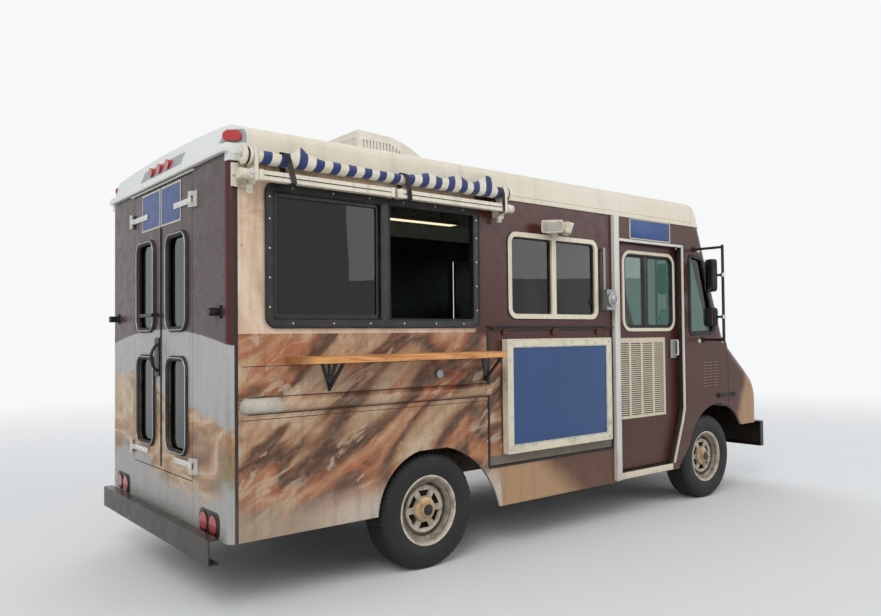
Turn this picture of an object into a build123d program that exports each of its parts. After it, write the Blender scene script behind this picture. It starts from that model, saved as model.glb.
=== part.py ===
from build123d import *
import math
import os

os.makedirs("parts", exist_ok=True)

# Frame of the part: millimetres, +X forward, +Y to the driver's side (left), +Z up.
# The origin is on the ground, midway between the bumper faces and on the centre plane.
# The serving side is the right side, at -Y.

# Running gear
wheelbase = 3175
front_overhang = 1010
rear_overhang = 1440
tyre_radius = 366
tyre_width = 220
tyre_facets = 56
wheel_plane = 875
rim_flange_radius = 222
rim_seat_radius = 204
rim_width = 190
kingpin_y = 800
front_axle_x = (front_overhang + wheelbase + rear_overhang) / 2 - front_overhang
rear_axle_x = front_axle_x - wheelbase
front_bumper_face = front_axle_x + front_overhang
rear_bumper_face = rear_axle_x - rear_overhang

# Body box
half_width = 1025
wall = 40
skirt_skin = 20
body_rear = rear_axle_x - 1357
corner_post = 52
corner_radius = 45
eave_z = 2410
rear_skirt_z = 400
mid_skirt_z = 315
floor_top = 700
floor_thickness = 60
floor_under = floor_top - floor_thickness
wall_inner = half_width - wall

# Cab
post_back = front_axle_x - 1375
post_width = 60
post_proud = 30
door_jamb_back = post_back + post_width
door_jamb_front = front_axle_x - 425
door_head = 2212
sill_top = 378
sill_bottom = 322
seam_x = front_axle_x + 297
screen_base_z = 1435
screen_top_x = front_axle_x - 77
nose_corner = 130
nose_face = front_axle_x + 853
nose_slope_end_x = front_axle_x + 724
nose_slope_end_z = 1100
nose_bottom = 615
hood_skin = 20

# Roof cap
cap_proud = 8
cap_skin = 36
cap_shoulder_z = 2560
cap_top_z = 2612
cap_crown_z = 2650
cap_shoulder = 65
cap_lip_x = body_rear - 22
cap_lip_z = 2455
cap_rear_lean = 70
cap_corner_chamfer = 120
cap_chamfer_z = 2500
cap_front_corner = 215
cap_roll_length = 450
cap_roll_mid = (177, 72)  # a point of the roll: behind the screen top, below the crown

# Clearances
leaf_gap = 6
pin_gap = 0.4


def block(x0, x1, y0, y1, z0, z1):
    """An axis-aligned box between two corners."""
    return Pos((x0 + x1) / 2, (y0 + y1) / 2, (z0 + z1) / 2) * Box(x1 - x0, y1 - y0, z1 - z0)


def prism_x(sketch, x0, x1):
    """A sketch drawn in (Y, Z), extruded from x0 to x1."""
    return Pos(x0, 0, 0) * extrude(Plane.YZ * sketch, amount=x1 - x0, dir=(1, 0, 0))


def prism_y(sketch, y0, y1):
    """A sketch drawn in (X, Z), extruded from y0 to y1."""
    return Pos(0, y0, 0) * extrude(Plane.XZ * sketch, amount=y1 - y0, dir=(0, 1, 0))


def prism_z(sketch, z0, z1):
    """A sketch drawn in (X, Y), extruded from z0 to z1."""
    return Pos(0, 0, z0) * extrude(sketch, amount=z1 - z0, dir=(0, 0, 1))


def panel_cut(u0, u1, v0, v1, radius):
    """A rounded rectangle between two corners of a sketch plane."""
    return Pos((u0 + u1) / 2, (v0 + v1) / 2) * RectangleRounded(u1 - u0, v1 - v0, radius)


def rod(start, end, radius):
    """A round bar between two points."""
    axis = Vector(*end) - Vector(*start)
    return Plane(origin=start, z_dir=axis) * extrude(Circle(radius), amount=axis.length)


def across(shape):
    """The same shape on the other side of the centre plane."""
    return mirror(shape, about=Plane.XZ)


def save(name, *shapes):
    """Writes one node: its solids, in the part's own frame."""
    solids = [s for shape in shapes for s in shape.solids()]
    node = solids[0] if len(solids) == 1 else Compound(children=solids)
    export_step(node, f"parts/{name}.step")


# Wheel arches, as cutters through the body side. Each outline is in (X, Z).
arch_radius = 475
arch_centre_x = front_axle_x + 112.5
arch_centre_z = 360
arch_tail_x = front_axle_x - 495
arch_tail_top = (front_axle_x - 340, 505)
rear_arch_back = rear_axle_x - 425
rear_arch_front = rear_axle_x + 566
rear_arch_top = 760


def front_arch():
    round_part = Pos(arch_centre_x, arch_centre_z) * Circle(arch_radius)
    tail = make_face(
        Polyline(
            (arch_tail_x, mid_skirt_z - 40),
            (arch_tail_x + 3, mid_skirt_z + 27),
            arch_tail_top,
            (arch_centre_x, arch_centre_z),
            (arch_centre_x, mid_skirt_z - 40),
            (arch_tail_x, mid_skirt_z - 40),
        )
    )
    return round_part + tail


def rear_arch():
    low = mid_skirt_z - 40
    back_top = (rear_axle_x - 112, rear_arch_top)
    front_top = (rear_axle_x + 112, rear_arch_top)
    path = (
        Line((rear_arch_front + 25, low), (rear_arch_front, mid_skirt_z + 10))
        + ThreePointArc((rear_arch_front, mid_skirt_z + 10), (rear_axle_x + 400, 600), front_top)
        + Line(front_top, back_top)
        + ThreePointArc(back_top, (rear_axle_x - 345, 615), (rear_arch_back, rear_skirt_z))
        + Line((rear_arch_back, rear_skirt_z), (rear_arch_back, low))
        + Line((rear_arch_back, low), (rear_arch_front + 25, low))
    )
    return make_face(path)


# Body sides between the rear corner post and the cab door
side_back = body_rear + corner_post
service_window = (rear_axle_x - 1149, rear_axle_x + 393, 1530, 2320)
service_border = 44
service_radius = 60
side_window = (rear_axle_x + 665, rear_axle_x + 1622, 1588, 2196)
side_window_radius = 75
side_hatch = (rear_axle_x + 485, rear_axle_x + 1772, 598, 1510)
hatch_gap = 6
hatch_opening = (
    side_hatch[0] - hatch_gap,
    side_hatch[1] + hatch_gap,
    side_hatch[2] - hatch_gap,
    side_hatch[3] + hatch_gap,
)


def body_side(openings):
    """The right-hand body side: a lined wall on a single-skin skirt, with its openings cut."""
    sheet = block(side_back, door_jamb_back, -half_width, -wall_inner, floor_under, eave_z)
    skirt_y = (-half_width, -half_width + skirt_skin)
    skirt_back = block(side_back, rear_axle_x, *skirt_y, rear_skirt_z, floor_under)
    skirt_mid = block(rear_axle_x, door_jamb_back, *skirt_y, mid_skirt_z, floor_under)
    side = sheet + skirt_back + skirt_mid
    side -= prism_y(rear_arch(), -half_width - 1, -wall_inner + 1)
    for x0, x1, z0, z1, radius in openings:
        side -= prism_y(panel_cut(x0, x1, z0, z1, radius), -half_width - 1, -wall_inner + 1)
    return side


save(
    "side_wall_right",
    body_side(
        [
            (*service_window, service_radius),
            (*side_window, side_window_radius),
            (*hatch_opening, 14),
        ]
    ),
)
save("side_wall_left", across(body_side([])))

# Rear wall with its rounded corner posts and the double-door opening
rear_door_half = 518
rear_door_bottom = 662
rear_door_top = 2428
leaf_thickness = 36


def rear_wall():
    plan = make_face(
        FilletPolyline(
            (side_back, -half_width),
            (body_rear, -half_width),
            (body_rear, half_width),
            (side_back, half_width),
            radius=corner_radius,
        )
        + Line((side_back, half_width), (side_back, -half_width))
    )
    frame = prism_z(plan, rear_skirt_z, eave_z)
    header_half = half_width - corner_radius
    frame += block(body_rear, body_rear + wall, -header_half, header_half, eave_z, cap_lip_z)
    frame -= block(
        body_rear + wall, side_back + 1, -wall_inner, wall_inner, rear_skirt_z - 1, cap_lip_z + 1
    )
    frame -= block(
        body_rear - 1,
        body_rear + wall + 1,
        -rear_door_half - leaf_gap,
        rear_door_half + leaf_gap,
        rear_door_bottom - leaf_gap,
        rear_door_top + leaf_gap,
    )
    return frame


save("rear_wall", rear_wall())


def corner_cut(front, side_y, radius, z):
    """What a round front corner leaves off a square one, as a face at height z."""
    side = 1 if side_y > 0 else -1
    half_turn = radius * math.sqrt(0.5)
    centre = (front - radius, side_y - side * radius)
    middle = (centre[0] + half_turn, centre[1] + side * half_turn)
    corner = (front + 20, side_y + side * 20)
    outline = (
        ThreePointArc((centre[0], side_y), middle, (front, centre[1]))
        + Line((front, centre[1]), (corner[0], centre[1]))
        + Line((corner[0], centre[1]), corner)
        + Line(corner, (centre[0], corner[1]))
        + Line((centre[0], corner[1]), (centre[0], side_y))
    )
    return Pos(0, 0, z) * make_face(outline)


# Roof cap: crowned across, rolled over the windscreen, leaning in at the back
def cap_solid(inset):
    y = half_width + cap_proud - inset
    top = cap_top_z - inset
    crown = cap_crown_z - inset
    shoulder_z = cap_shoulder_z - inset
    shoulder_mid_y = y - cap_shoulder * 0.29
    shoulder_mid_z = shoulder_z + 37
    section = make_face(
        Line((-y, eave_z), (-y, shoulder_z))
        + ThreePointArc((-y, shoulder_z), (-shoulder_mid_y, shoulder_mid_z), (-y + cap_shoulder, top))
        + ThreePointArc((-y + cap_shoulder, top), (0, crown), (y - cap_shoulder, top))
        + ThreePointArc((y - cap_shoulder, top), (shoulder_mid_y, shoulder_mid_z), (y, shoulder_z))
        + Line((y, shoulder_z), (y, eave_z))
        + Line((y, eave_z), (-y, eave_z))
    )
    back = cap_lip_x + inset
    front = screen_top_x - inset
    high = cap_crown_z + 10
    roll_back = front - cap_roll_length
    roll_mid = (front - cap_roll_mid[0], crown - cap_roll_mid[1])
    profile = make_face(
        Line((back, eave_z), (back, cap_lip_z + 20))
        + Line((back, cap_lip_z + 20), (back + cap_rear_lean, high))
        + Line((back + cap_rear_lean, high), (roll_back, high))
        + Line((roll_back, high), (roll_back, crown + 2))
        + ThreePointArc((roll_back, crown + 2), roll_mid, (front, eave_z))
        + Line((front, eave_z), (back, eave_z))
    )
    solid = prism_x(section, back - 10, front + 10) & prism_y(profile, -y - 10, y + 10)
    c = cap_corner_chamfer - inset * 0.6
    for side in (-1, 1):
        low_cut = corner_cut(front, side * y, nose_corner - inset, eave_z - 1)
        high_cut = corner_cut(front, side * y, cap_front_corner - inset, cap_shoulder_z)
        solid -= loft([low_cut, high_cut], ruled=True)
        solid -= extrude(high_cut, amount=high + 10 - cap_shoulder_z, dir=(0, 0, 1))
        rear_corner = Polyline(
            (back - 5, side * (y + 5)),
            (back - 5, side * (y - c)),
            (back + c, side * (y + 5)),
            (back - 5, side * (y + 5)),
        )
        solid -= prism_z(make_face(rear_corner), cap_chamfer_z, high + 10)
    return solid


cap = cap_solid(0) - cap_solid(cap_skin)
cap -= block(cap_lip_x - 1, body_rear, -half_width - 20, half_width + 20, eave_z - 1, cap_lip_z)
header_half = half_width - corner_radius
cap -= block(body_rear, body_rear + wall, -header_half, header_half, eave_z - 1, cap_lip_z)
save("roof_cap", cap)


# Cab shell
def cab_solid(inset):
    """The cab from the door post to the windscreen, with rolled windscreen corners."""
    y = half_width - inset
    slope = (screen_top_x - seam_x) / (eave_z - screen_base_z)
    lean = inset * math.hypot(1, slope)
    upper = prism_y(
        make_face(
            Polyline(
                (door_jamb_back, screen_base_z),
                (seam_x - lean, screen_base_z),
                (screen_top_x - lean, eave_z),
                (door_jamb_back, eave_z),
                (door_jamb_back, screen_base_z),
            )
        ),
        -y,
        y,
    )
    slanted = [
        e
        for e in upper.edges()
        if abs(e.tangent_at(0.5).Y) < 0.01 and 0.05 < abs(e.tangent_at(0.5).X) < 0.9
    ]
    upper = fillet(slanted, nose_corner - inset)
    lower = block(door_jamb_back, seam_x - inset, -y, y, sill_bottom - inset, screen_base_z)
    return upper + lower


cowl_radii = ((0, 1), (50, 10), (85, 31.6), (110, 60.7), (122, 85.1), (130, 129.9))


def cowl_corner_box(side):
    """The block of the cab that holds one upper front corner below the windscreen."""
    y0, y1 = sorted((side * (half_width + 1), side * (half_width - nose_corner)))
    return block(seam_x - nose_corner, seam_x + 1, y0, y1, screen_base_z - nose_corner, screen_base_z)


def cowl_corner(side):
    """The corner between side, cowl and windscreen pillar, rounded more and more towards the hood."""
    outer = side * half_width
    inner = side * (half_width - nose_corner)
    low = screen_base_z - nose_corner
    sections = []
    for along, r in cowl_radii:
        turn = r * (1 - math.sqrt(0.5))
        path = (
            Line((inner, low), (outer, low))
            + Line((outer, low), (outer, screen_base_z - r))
            + ThreePointArc(
                (outer, screen_base_z - r),
                (outer - side * turn, screen_base_z - turn),
                (outer - side * r, screen_base_z),
            )
            + Line((outer - side * r, screen_base_z), (inner, screen_base_z))
            + Line((inner, screen_base_z), (inner, low))
        )
        sections.append(Pos(seam_x - nose_corner + along, 0, 0) * (Plane.YZ * make_face(path)))
    return loft(sections, ruled=True)


door_edge = make_face(
    Line((door_jamb_back, sill_top), (door_jamb_back, door_head))
    + Line((door_jamb_back, door_head), (door_jamb_front, door_head))
    + Line((door_jamb_front, door_head), (door_jamb_front, 815))
    + ThreePointArc((door_jamb_front, 815), (door_jamb_front - 32, 720), (door_jamb_front - 165, sill_top))
    + Line((door_jamb_front - 165, sill_top), (door_jamb_back, sill_top))
)
quarter_top_x = front_axle_x - 100
quarter_bottom_x = front_axle_x + 90
quarter_back_x = front_axle_x - 305


def quarter_outline(inset):
    """The cab's fixed quarter window, as a closed outline in (X, Z)."""
    return make_face(
        FilletPolyline(
            (quarter_back_x + inset, 2160 - inset),
            (quarter_top_x - inset * 0.7, 2130 - inset),
            (quarter_bottom_x - inset * 1.2, 1480 + inset),
            (quarter_back_x + inset, 1462 + inset),
            radius=45 - inset,
            close=True,
        )
    )


screen_half = half_width - nose_corner
cab_shell = cab_solid(0) - cab_solid(wall)
for side in (-1, 1):
    cab_shell = cab_shell - cowl_corner_box(side) + cowl_corner(side)
side_cut_y = (-half_width - 1, -screen_half + 1)
cab_side = cab_shell & block(door_jamb_back, seam_x + 1, side_cut_y[0], -screen_half, sill_bottom, eave_z)
cab_side -= block(
    door_jamb_back - 1, seam_x + 1, -half_width + skirt_skin, side_cut_y[1], sill_bottom - 1, floor_under
)
cab_side -= prism_y(door_edge, *side_cut_y)
cab_side -= prism_y(front_arch(), *side_cut_y)
cab_side -= prism_y(quarter_outline(0), *side_cut_y)

louvre_columns = 3
louvre_column_pitch = 88
louvre_width = 70
louvre_rows = 9
louvre_row_pitch = 26
louvre_slot = 9
louvre_depth = 5
louvre_corner = (front_axle_x - 114, 988)
for column in range(louvre_columns):
    x = louvre_corner[0] + column * louvre_column_pitch
    for row in range(louvre_rows):
        z = louvre_corner[1] + row * louvre_row_pitch
        cab_side -= block(
            x, x + louvre_width, -half_width - 1, -half_width + louvre_depth, z, z + louvre_slot
        )
save("cab_side_right", cab_side)
save("cab_side_left", across(cab_side))

screen_slope = Plane(
    origin=(seam_x, 0, screen_base_z),
    x_dir=(0, 1, 0),
    z_dir=(eave_z - screen_base_z, 0, seam_x - screen_top_x),
)
screen_height = math.hypot(eave_z - screen_base_z, seam_x - screen_top_x)
screen_bottom_border = 70
screen_top_border = 95
screen_side_border = 35
screen_divider = 44
screen_pane_radius = 40
screen_pane_width = screen_half - screen_side_border - screen_divider / 2
screen_pane_height = screen_height - screen_bottom_border - screen_top_border


def screen_pane(side, grow, depth):
    """One windscreen pane, as a cutter or as glass, on the sloping plane."""
    centre = side * (screen_divider / 2 + screen_pane_width / 2)
    up = screen_bottom_border + screen_pane_height / 2
    size = (screen_pane_width + 2 * grow, screen_pane_height + 2 * grow)
    outline = RectangleRounded(*size, screen_pane_radius + grow)
    return screen_slope * Pos(centre, up, -depth) * extrude(outline, amount=depth + 5)


windscreen_frame = cab_shell & block(
    front_axle_x - 400, seam_x + 1, -screen_half, screen_half, screen_base_z, eave_z
)
windscreen_frame += block(seam_x - 60, seam_x, -screen_half, screen_half, screen_base_z - 40, screen_base_z)
for side in (-1, 1):
    windscreen_frame -= screen_pane(side, 0, 60)
save("windscreen_frame", windscreen_frame)


# Fixed glass of the body: windscreen, quarter windows, serving window, side window
glass = 6
glass_inset = 16

body_glass = []
for side in (-1, 1):
    sheet = screen_pane(side, -0.3, 24) - screen_pane(side, 1, 24 - glass)
    body_glass.append(sheet)
quarter_pane = prism_y(quarter_outline(0.3), -half_width + glass_inset, -half_width + glass_inset + glass)
body_glass += [quarter_pane, across(quarter_pane)]

# Serving window: black frame, a fixed pane behind which the sliding pane stands open
seat_gap = 0.3
frame_proud = 10
mullion = (rear_axle_x - 394, rear_axle_x - 339)


def window_frame(window, radius, border, proud, mullion):
    """A window frame seated in its opening, with an outer flange as wide as its border."""
    x0, x1, z0, z1 = window
    gap = seat_gap
    ring = panel_cut(x0 + gap, x1 - gap, z0 + gap, z1 - gap, radius)
    ring -= panel_cut(x0 + border, x1 - border, z0 + border, z1 - border, max(radius - border, 12))
    frame = prism_y(ring, -half_width - proud, -wall_inner)
    m0, m1 = mullion
    frame += block(m0, m1, -half_width - proud, -wall_inner, z0 + border - 1, z1 - border + 1)
    return frame


save(
    "service_window_frame",
    window_frame(service_window, service_radius, service_border, frame_proud, mullion),
)
side_border = 34
side_mullion = (rear_axle_x + 1105, rear_axle_x + 1150)
save(
    "side_window_frame",
    window_frame(side_window, side_window_radius, side_border, frame_proud, side_mullion),
)


s_x0, s_x1, s_z0, s_z1 = service_window
w_x0, w_x1, w_z0, w_z1 = side_window
pane_y = -half_width + glass_inset
serving_pane = panel_cut(
    s_x0 + service_border + seat_gap,
    s_x1 - service_border - seat_gap,
    s_z0 + service_border + seat_gap,
    s_z1 - service_border - seat_gap,
    service_radius - service_border - seat_gap,
)
rear_half = Rectangle(mullion[0] - s_x0 - 2 * seat_gap, s_z1 - s_z0)
serving_pane &= Pos((s_x0 + mullion[0]) / 2, (s_z0 + s_z1) / 2) * rear_half
body_glass.append(prism_y(serving_pane, pane_y, pane_y + glass))
for x0, x1 in ((w_x0 + side_border, side_mullion[0]), (side_mullion[1], w_x1 - side_border)):
    outline = panel_cut(
        w_x0 + side_border + seat_gap,
        w_x1 - side_border - seat_gap,
        w_z0 + side_border + seat_gap,
        w_z1 - side_border - seat_gap,
        side_window_radius - side_border - seat_gap,
    )
    outline &= Pos((x0 + x1) / 2, (w_z0 + w_z1) / 2) * Rectangle(x1 - x0 - 2 * seat_gap, w_z1 - w_z0)
    body_glass.append(prism_y(outline, pane_y, pane_y + glass))
save("body_glass", *body_glass)

# Side hatch under the small window, hung from a hinge along its top, with the menu board on it
hatch_axis_y = -half_width - 11
hatch_axis_z = side_hatch[3] + 3
hatch_pin = 5
eye_radius = 9
hatch_eyes = (side_hatch[0] + 150, (side_hatch[0] + side_hatch[1]) / 2, side_hatch[1] - 150)
hatch_eye_length = 60
h_x0, h_x1, h_z0, h_z1 = side_hatch
hatch = prism_y(panel_cut(h_x0, h_x1, h_z0, h_z1, 10), -half_width, -wall_inner)
eye_leaf_drop = 40


def hatch_rod(x0, x1, radius):
    """A round bar on the hatch's hinge axis."""
    return rod((x0, hatch_axis_y, hatch_axis_z), (x1, hatch_axis_y, hatch_axis_z), radius)


for x in hatch_eyes:
    x0, x1 = x - hatch_eye_length / 2, x + hatch_eye_length / 2
    eye = hatch_rod(x0, x1, eye_radius)
    eye += block(
        x0, x1, hatch_axis_y - 3, -half_width + 1, hatch_axis_z - eye_leaf_drop, hatch_axis_z - hatch_gap
    )
    hatch += eye - hatch_rod(x0 - 1, x1 + 1, hatch_pin + pin_gap)
save("side_hatch", hatch)

board = (rear_axle_x + 606, rear_axle_x + 1718, 666, 1447)
board_thickness = 50
board_border = 54
b_x0, b_x1, b_z0, b_z1 = board
board_back = -half_width - seat_gap
menu_board = block(b_x0, b_x1, board_back - board_thickness, board_back, b_z0, b_z1)
menu_board -= block(
    b_x0 + board_border,
    b_x1 - board_border,
    board_back - board_thickness - 1,
    board_back - board_thickness + 8,
    b_z0 + board_border,
    b_z1 - board_border,
)
save("menu_board", menu_board)

# Hinge pin of the hatch, on a strip on the wall above it
hinge_ends = (h_x0 + 20, h_x1 - 20)
hatch_hinge = hatch_rod(*hinge_ends, hatch_pin)
eye_clear = hatch_eye_length / 2 + hatch_gap
eye_edges = [x + way for x in hatch_eyes for way in (-eye_clear, eye_clear)]
strip_edges = [hinge_ends[0], *eye_edges, hinge_ends[1]]
for x0, x1 in zip(strip_edges[::2], strip_edges[1::2]):
    hatch_hinge += block(x0, x1, hatch_axis_y - 2, hatch_axis_y + 2, hatch_axis_z, hatch_axis_z + 12)
    hatch_hinge += block(x0, x1, hatch_axis_y - 2, -half_width, hatch_axis_z + 8, hatch_axis_z + 22)

# White door posts and half-round rub rails, on both sides
post = block(post_back, door_jamb_back, -half_width - post_proud, -half_width, sill_bottom + 8, eave_z)
save("door_posts", post, across(post))

rail_z = 1110
rail_half = 43
rail_proud = 34
rail_rear = side_back + 42
rail_front = side_hatch[0] - 12
half_round = make_face(
    ThreePointArc((0, -rail_half), (rail_proud, 0), (0, rail_half)) + Line((0, rail_half), (0, -rail_half))
)
rail_section = Pos(-half_width, rail_z) * mirror(half_round, about=Plane.YZ)
dome = Pos(rail_rear, -half_width, rail_z) * revolve(Plane.XZ * half_round, Axis.Z)
dome_back = rail_rear - rail_proud - 5
dome_out = -half_width - rail_proud - 5
dome &= block(dome_back, rail_rear, dome_out, -half_width, rail_z - rail_half - 5, rail_z + rail_half + 5)
rub_rail = prism_x(rail_section, rail_rear, rail_front) + dome
save("rub_rails", rub_rail, across(rub_rail))

# Serving shelf on two brackets
shelf = (rear_axle_x - 1035, rear_axle_x + 462)
shelf_depth = 195
shelf_top = 1369
shelf_thickness = 38
shelf_under = shelf_top - shelf_thickness
save("shelf", block(*shelf, -half_width - shelf_depth, -half_width, shelf_under, shelf_top))
bracket_width = 16
bracket_rise = 165
bracket_reach = 170
bracket_bar = 7
brace_bar = 13
bracket_places = ((shelf[0] + 278, 58), (shelf[1] - 15, 31))  # X, half the width of the braces


def shelf_bracket(x, half):
    """A web under the shelf, and two braces on the wall that meet at its foot."""
    y = -half_width
    z = shelf_under
    foot = z - bracket_rise
    braces = make_face(Polyline((x - half, z), (x + half, z), (x, foot), (x - half, z)))
    hole = make_face(
        Polyline(
            (x - half + 2 * brace_bar, z - brace_bar),
            (x + half - 2 * brace_bar, z - brace_bar),
            (x, foot + 4 * brace_bar),
            (x - half + 2 * brace_bar, z - brace_bar),
        )
    )
    plate = prism_y(braces - hole if half > 3 * brace_bar else braces, y - bracket_bar, y)
    outer = make_face(Polyline((y, z), (y - bracket_reach, z), (y, z - bracket_rise), (y, z)))
    inner = make_face(
        Polyline(
            (y - bracket_bar, z - bracket_bar),
            (y - bracket_reach + 4 * bracket_bar, z - bracket_bar),
            (y - bracket_bar, z - bracket_rise + 4 * bracket_bar),
            (y - bracket_bar, z - bracket_bar),
        )
    )
    return plate + prism_x(outer - inner, x - bracket_width / 2, x + bracket_width / 2)


save("shelf_brackets", *[shelf_bracket(*place) for place in bracket_places])

# Awning: end brackets, wall bar and folded arms, with the rolled fabric above the arms
awning = (rear_axle_x - 1342, rear_axle_x + 622)
bracket_plate = 95
awning_bar_z = (2330, 2372)
roll_radius = 55
roll_y = -half_width - 78
roll_z = 2428
arm_y = (-half_width - 122, -half_width - 76)
arm_z = (2302, 2352)
arm_gap = 22
cheek = 18
cap_length = 48
roll_cap_radius = 41
cheek_top = roll_z + roll_cap_radius + 4
knuckle_radius = 27
knuckle_y = (arm_y[0] + arm_y[1]) / 2
knuckle_z = (arm_z[0] + arm_z[1]) / 2
foot_zs = (2272, 2396)
cheek_outline = make_face(
    FilletPolyline(
        (-half_width, foot_zs[0]),
        (-half_width, foot_zs[1]),
        (-half_width - 26, foot_zs[1] + 16),
        (roll_y + 30, cheek_top),
        (roll_y - 38, cheek_top),
        (arm_y[0] - 8, roll_z - 34),
        (arm_y[0] - 8, arm_z[0] - 8),
        (arm_y[1], arm_z[0] - 22),
        radius=8,
        close=True,
    )
)
awning_frame = block(*awning, -half_width - 34, -half_width, *awning_bar_z)
arm_middle = (awning[0] + awning[1]) / 2
arm_starts = (awning[0] + bracket_plate, awning[1] - bracket_plate)
for outer, inner, way in ((awning[0], arm_starts[0], 1), (awning[1], arm_starts[1], -1)):
    awning_frame += prism_x(cheek_outline, *sorted((inner - way * cheek, inner)))
    awning_frame += block(*sorted((outer, inner)), -half_width - 14, -half_width, *foot_zs)
    cap_end = inner - way * (cheek + cap_length)
    awning_frame += rod((cap_end, roll_y, roll_z), (inner - way, roll_y, roll_z), roll_cap_radius)
    knuckle_end = (outer + way * 12, knuckle_y, knuckle_z)
    awning_frame += rod(knuckle_end, (inner, knuckle_y, knuckle_z), knuckle_radius)
    foot_end = outer + way * 40
    awning_frame += block(
        *sorted((outer + way * 16, foot_end)), knuckle_y, -half_width - 1, knuckle_z - 16, knuckle_z + 16
    )
awning_frame += block(arm_starts[0] - 1, arm_middle - arm_gap / 2, *arm_y, *arm_z)
awning_frame += block(arm_middle + arm_gap / 2, arm_starts[1] + 1, *arm_y, *arm_z)
save("awning_frame", awning_frame)
roll_ends = ((arm_starts[0] + seat_gap, roll_y, roll_z), (arm_starts[1] - seat_gap, roll_y, roll_z))
save("awning_roll", rod(*roll_ends, roll_radius))

# Roof air conditioner: upright slotted back, sloping front
ac_back = rear_axle_x - 112
ac_front = rear_axle_x + 618
ac_half = 350
ac_base = cap_crown_z + seat_gap
ac_height = 272
ac_top = ac_base + ac_height
ac_profile = make_face(
    Line((ac_back, ac_base), (ac_back, ac_top))
    + Line((ac_back, ac_top), (ac_back + 300, ac_top - 14))
    + ThreePointArc((ac_back + 300, ac_top - 14), (ac_back + 535, ac_top - 108), (ac_front, ac_base + 22))
    + Line((ac_front, ac_base + 22), (ac_front, ac_base))
    + Line((ac_front, ac_base), (ac_back, ac_base))
)
conditioner = prism_y(ac_profile, -ac_half, ac_half)
slot_count = 14
slot_pitch = 28
slot_width = 13
slot_depth = 14
for n in range(slot_count):
    x = ac_back + 40 + n * slot_pitch
    height = ac_top - 62 - max(0, n - 8) * 13
    for side in (-1, 1):
        conditioner -= block(
            x,
            x + slot_width,
            min(side * (ac_half - slot_depth), side * (ac_half + 5)),
            max(side * (ac_half - slot_depth), side * (ac_half + 5)),
            ac_base + 62,
            height,
        )
back_slots = 22
for n in range(back_slots):
    y = -ac_half + 36 + n * (2 * ac_half - 72 - slot_width) / (back_slots - 1)
    conditioner -= block(ac_back - 5, ac_back + slot_depth, y, y + slot_width, ac_base + 62, ac_top - 45)
save("roof_air_conditioner", conditioner)

# Rear doors, side-hinged, with two windows in each leaf
hinge_out = 18
hinge_y = rear_door_half + 17
meeting_gap = 12
hinge_zs = (750, 2270)
hinge_pin = 6
barrel_radius = 11
barrel_half = 45
door_barrel_half = 18
strap_thickness = 8
strap_half = 17
strap_end_y = 240
hinge_x = body_rear - hinge_out
rear_panes = ((120, 440, 800, 1355), (120, 440, 1530, 2100))
rear_pane_radius = 70
plate_proud = 4
plate_end_y = 350
plate_zs = (2175, 2418)
rear_glass_x = body_rear + 14


def rear_leaf():
    """The left leaf with its hinge straps and the blank plate at its head."""
    leaf_inside = body_rear + leaf_thickness
    leaf = block(
        body_rear, leaf_inside, meeting_gap / 2, rear_door_half, rear_door_bottom, rear_door_top
    )
    for y0, y1, z0, z1 in rear_panes:
        pane = panel_cut(y0, y1, z0, z1, rear_pane_radius)
        leaf -= prism_x(pane, body_rear - 1, leaf_inside + 1)
    for z in hinge_zs:
        z0, z1 = z - strap_half, z + strap_half
        strap = block(body_rear - strap_thickness, body_rear + 1, strap_end_y, rear_door_half - 1, z0, z1)
        strap += block(hinge_x, body_rear - 3, rear_door_half - 12, hinge_y, z0, z1)
        strap += rod((hinge_x, hinge_y, z0), (hinge_x, hinge_y, z1), barrel_radius)
        strap -= rod((hinge_x, hinge_y, z0 - 1), (hinge_x, hinge_y, z1 + 1), hinge_pin + pin_gap)
        leaf += strap
    leaf += block(body_rear - plate_proud, body_rear + 1, meeting_gap / 2 + 2, plate_end_y, *plate_zs)
    return leaf


rear_leaf_left = rear_leaf()
save("rear_door_left", rear_leaf_left)
save("rear_door_right", across(rear_leaf_left))
leaf_panes = []
for y0, y1, z0, z1 in rear_panes:
    radius = rear_pane_radius - seat_gap
    outline = panel_cut(y0 + seat_gap, y1 - seat_gap, z0 + seat_gap, z1 - seat_gap, radius)
    leaf_panes.append(prism_x(outline, rear_glass_x, rear_glass_x + glass))
save("rear_door_glass_left", *leaf_panes)
save("rear_door_glass_right", *[across(p) for p in leaf_panes])

# Lift handle, latch plate and grab bar on the left leaf
bar_radius = 11
bar_out = 46
bar_x = body_rear - bar_out
bar_z = 1622
bar_ends_y = (16, 250)
bar_foot_in = 24
latch_y = (12, 92)
latch_zs = (1240, 1480)
latch_back = body_rear - seat_gap
latch_face = body_rear - 12
pull_radius = 9
handles = rod((bar_x, bar_ends_y[0], bar_z), (bar_x, bar_ends_y[1], bar_z), bar_radius)
for y in (bar_ends_y[0] + bar_foot_in, bar_ends_y[1] - bar_foot_in):
    handles += rod((bar_x, y, bar_z), (latch_back, y, bar_z), bar_radius - 2)
latch = block(latch_face, latch_back, *latch_y, *latch_zs)
pull_y = latch_y[0] + 28
pull_foot = latch_face + 1
pull = Spline(
    (pull_foot, pull_y, latch_zs[0] + 30),
    (latch_face - 30, pull_y - 4, latch_zs[0] + 70),
    (latch_face - 34, pull_y - 4, latch_zs[1] - 90),
    (pull_foot, pull_y, latch_zs[1] - 40),
)
latch += sweep(Plane(origin=pull @ 0, z_dir=pull % 0) * Circle(pull_radius), path=pull)
save("rear_door_handles", handles, latch)

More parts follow.
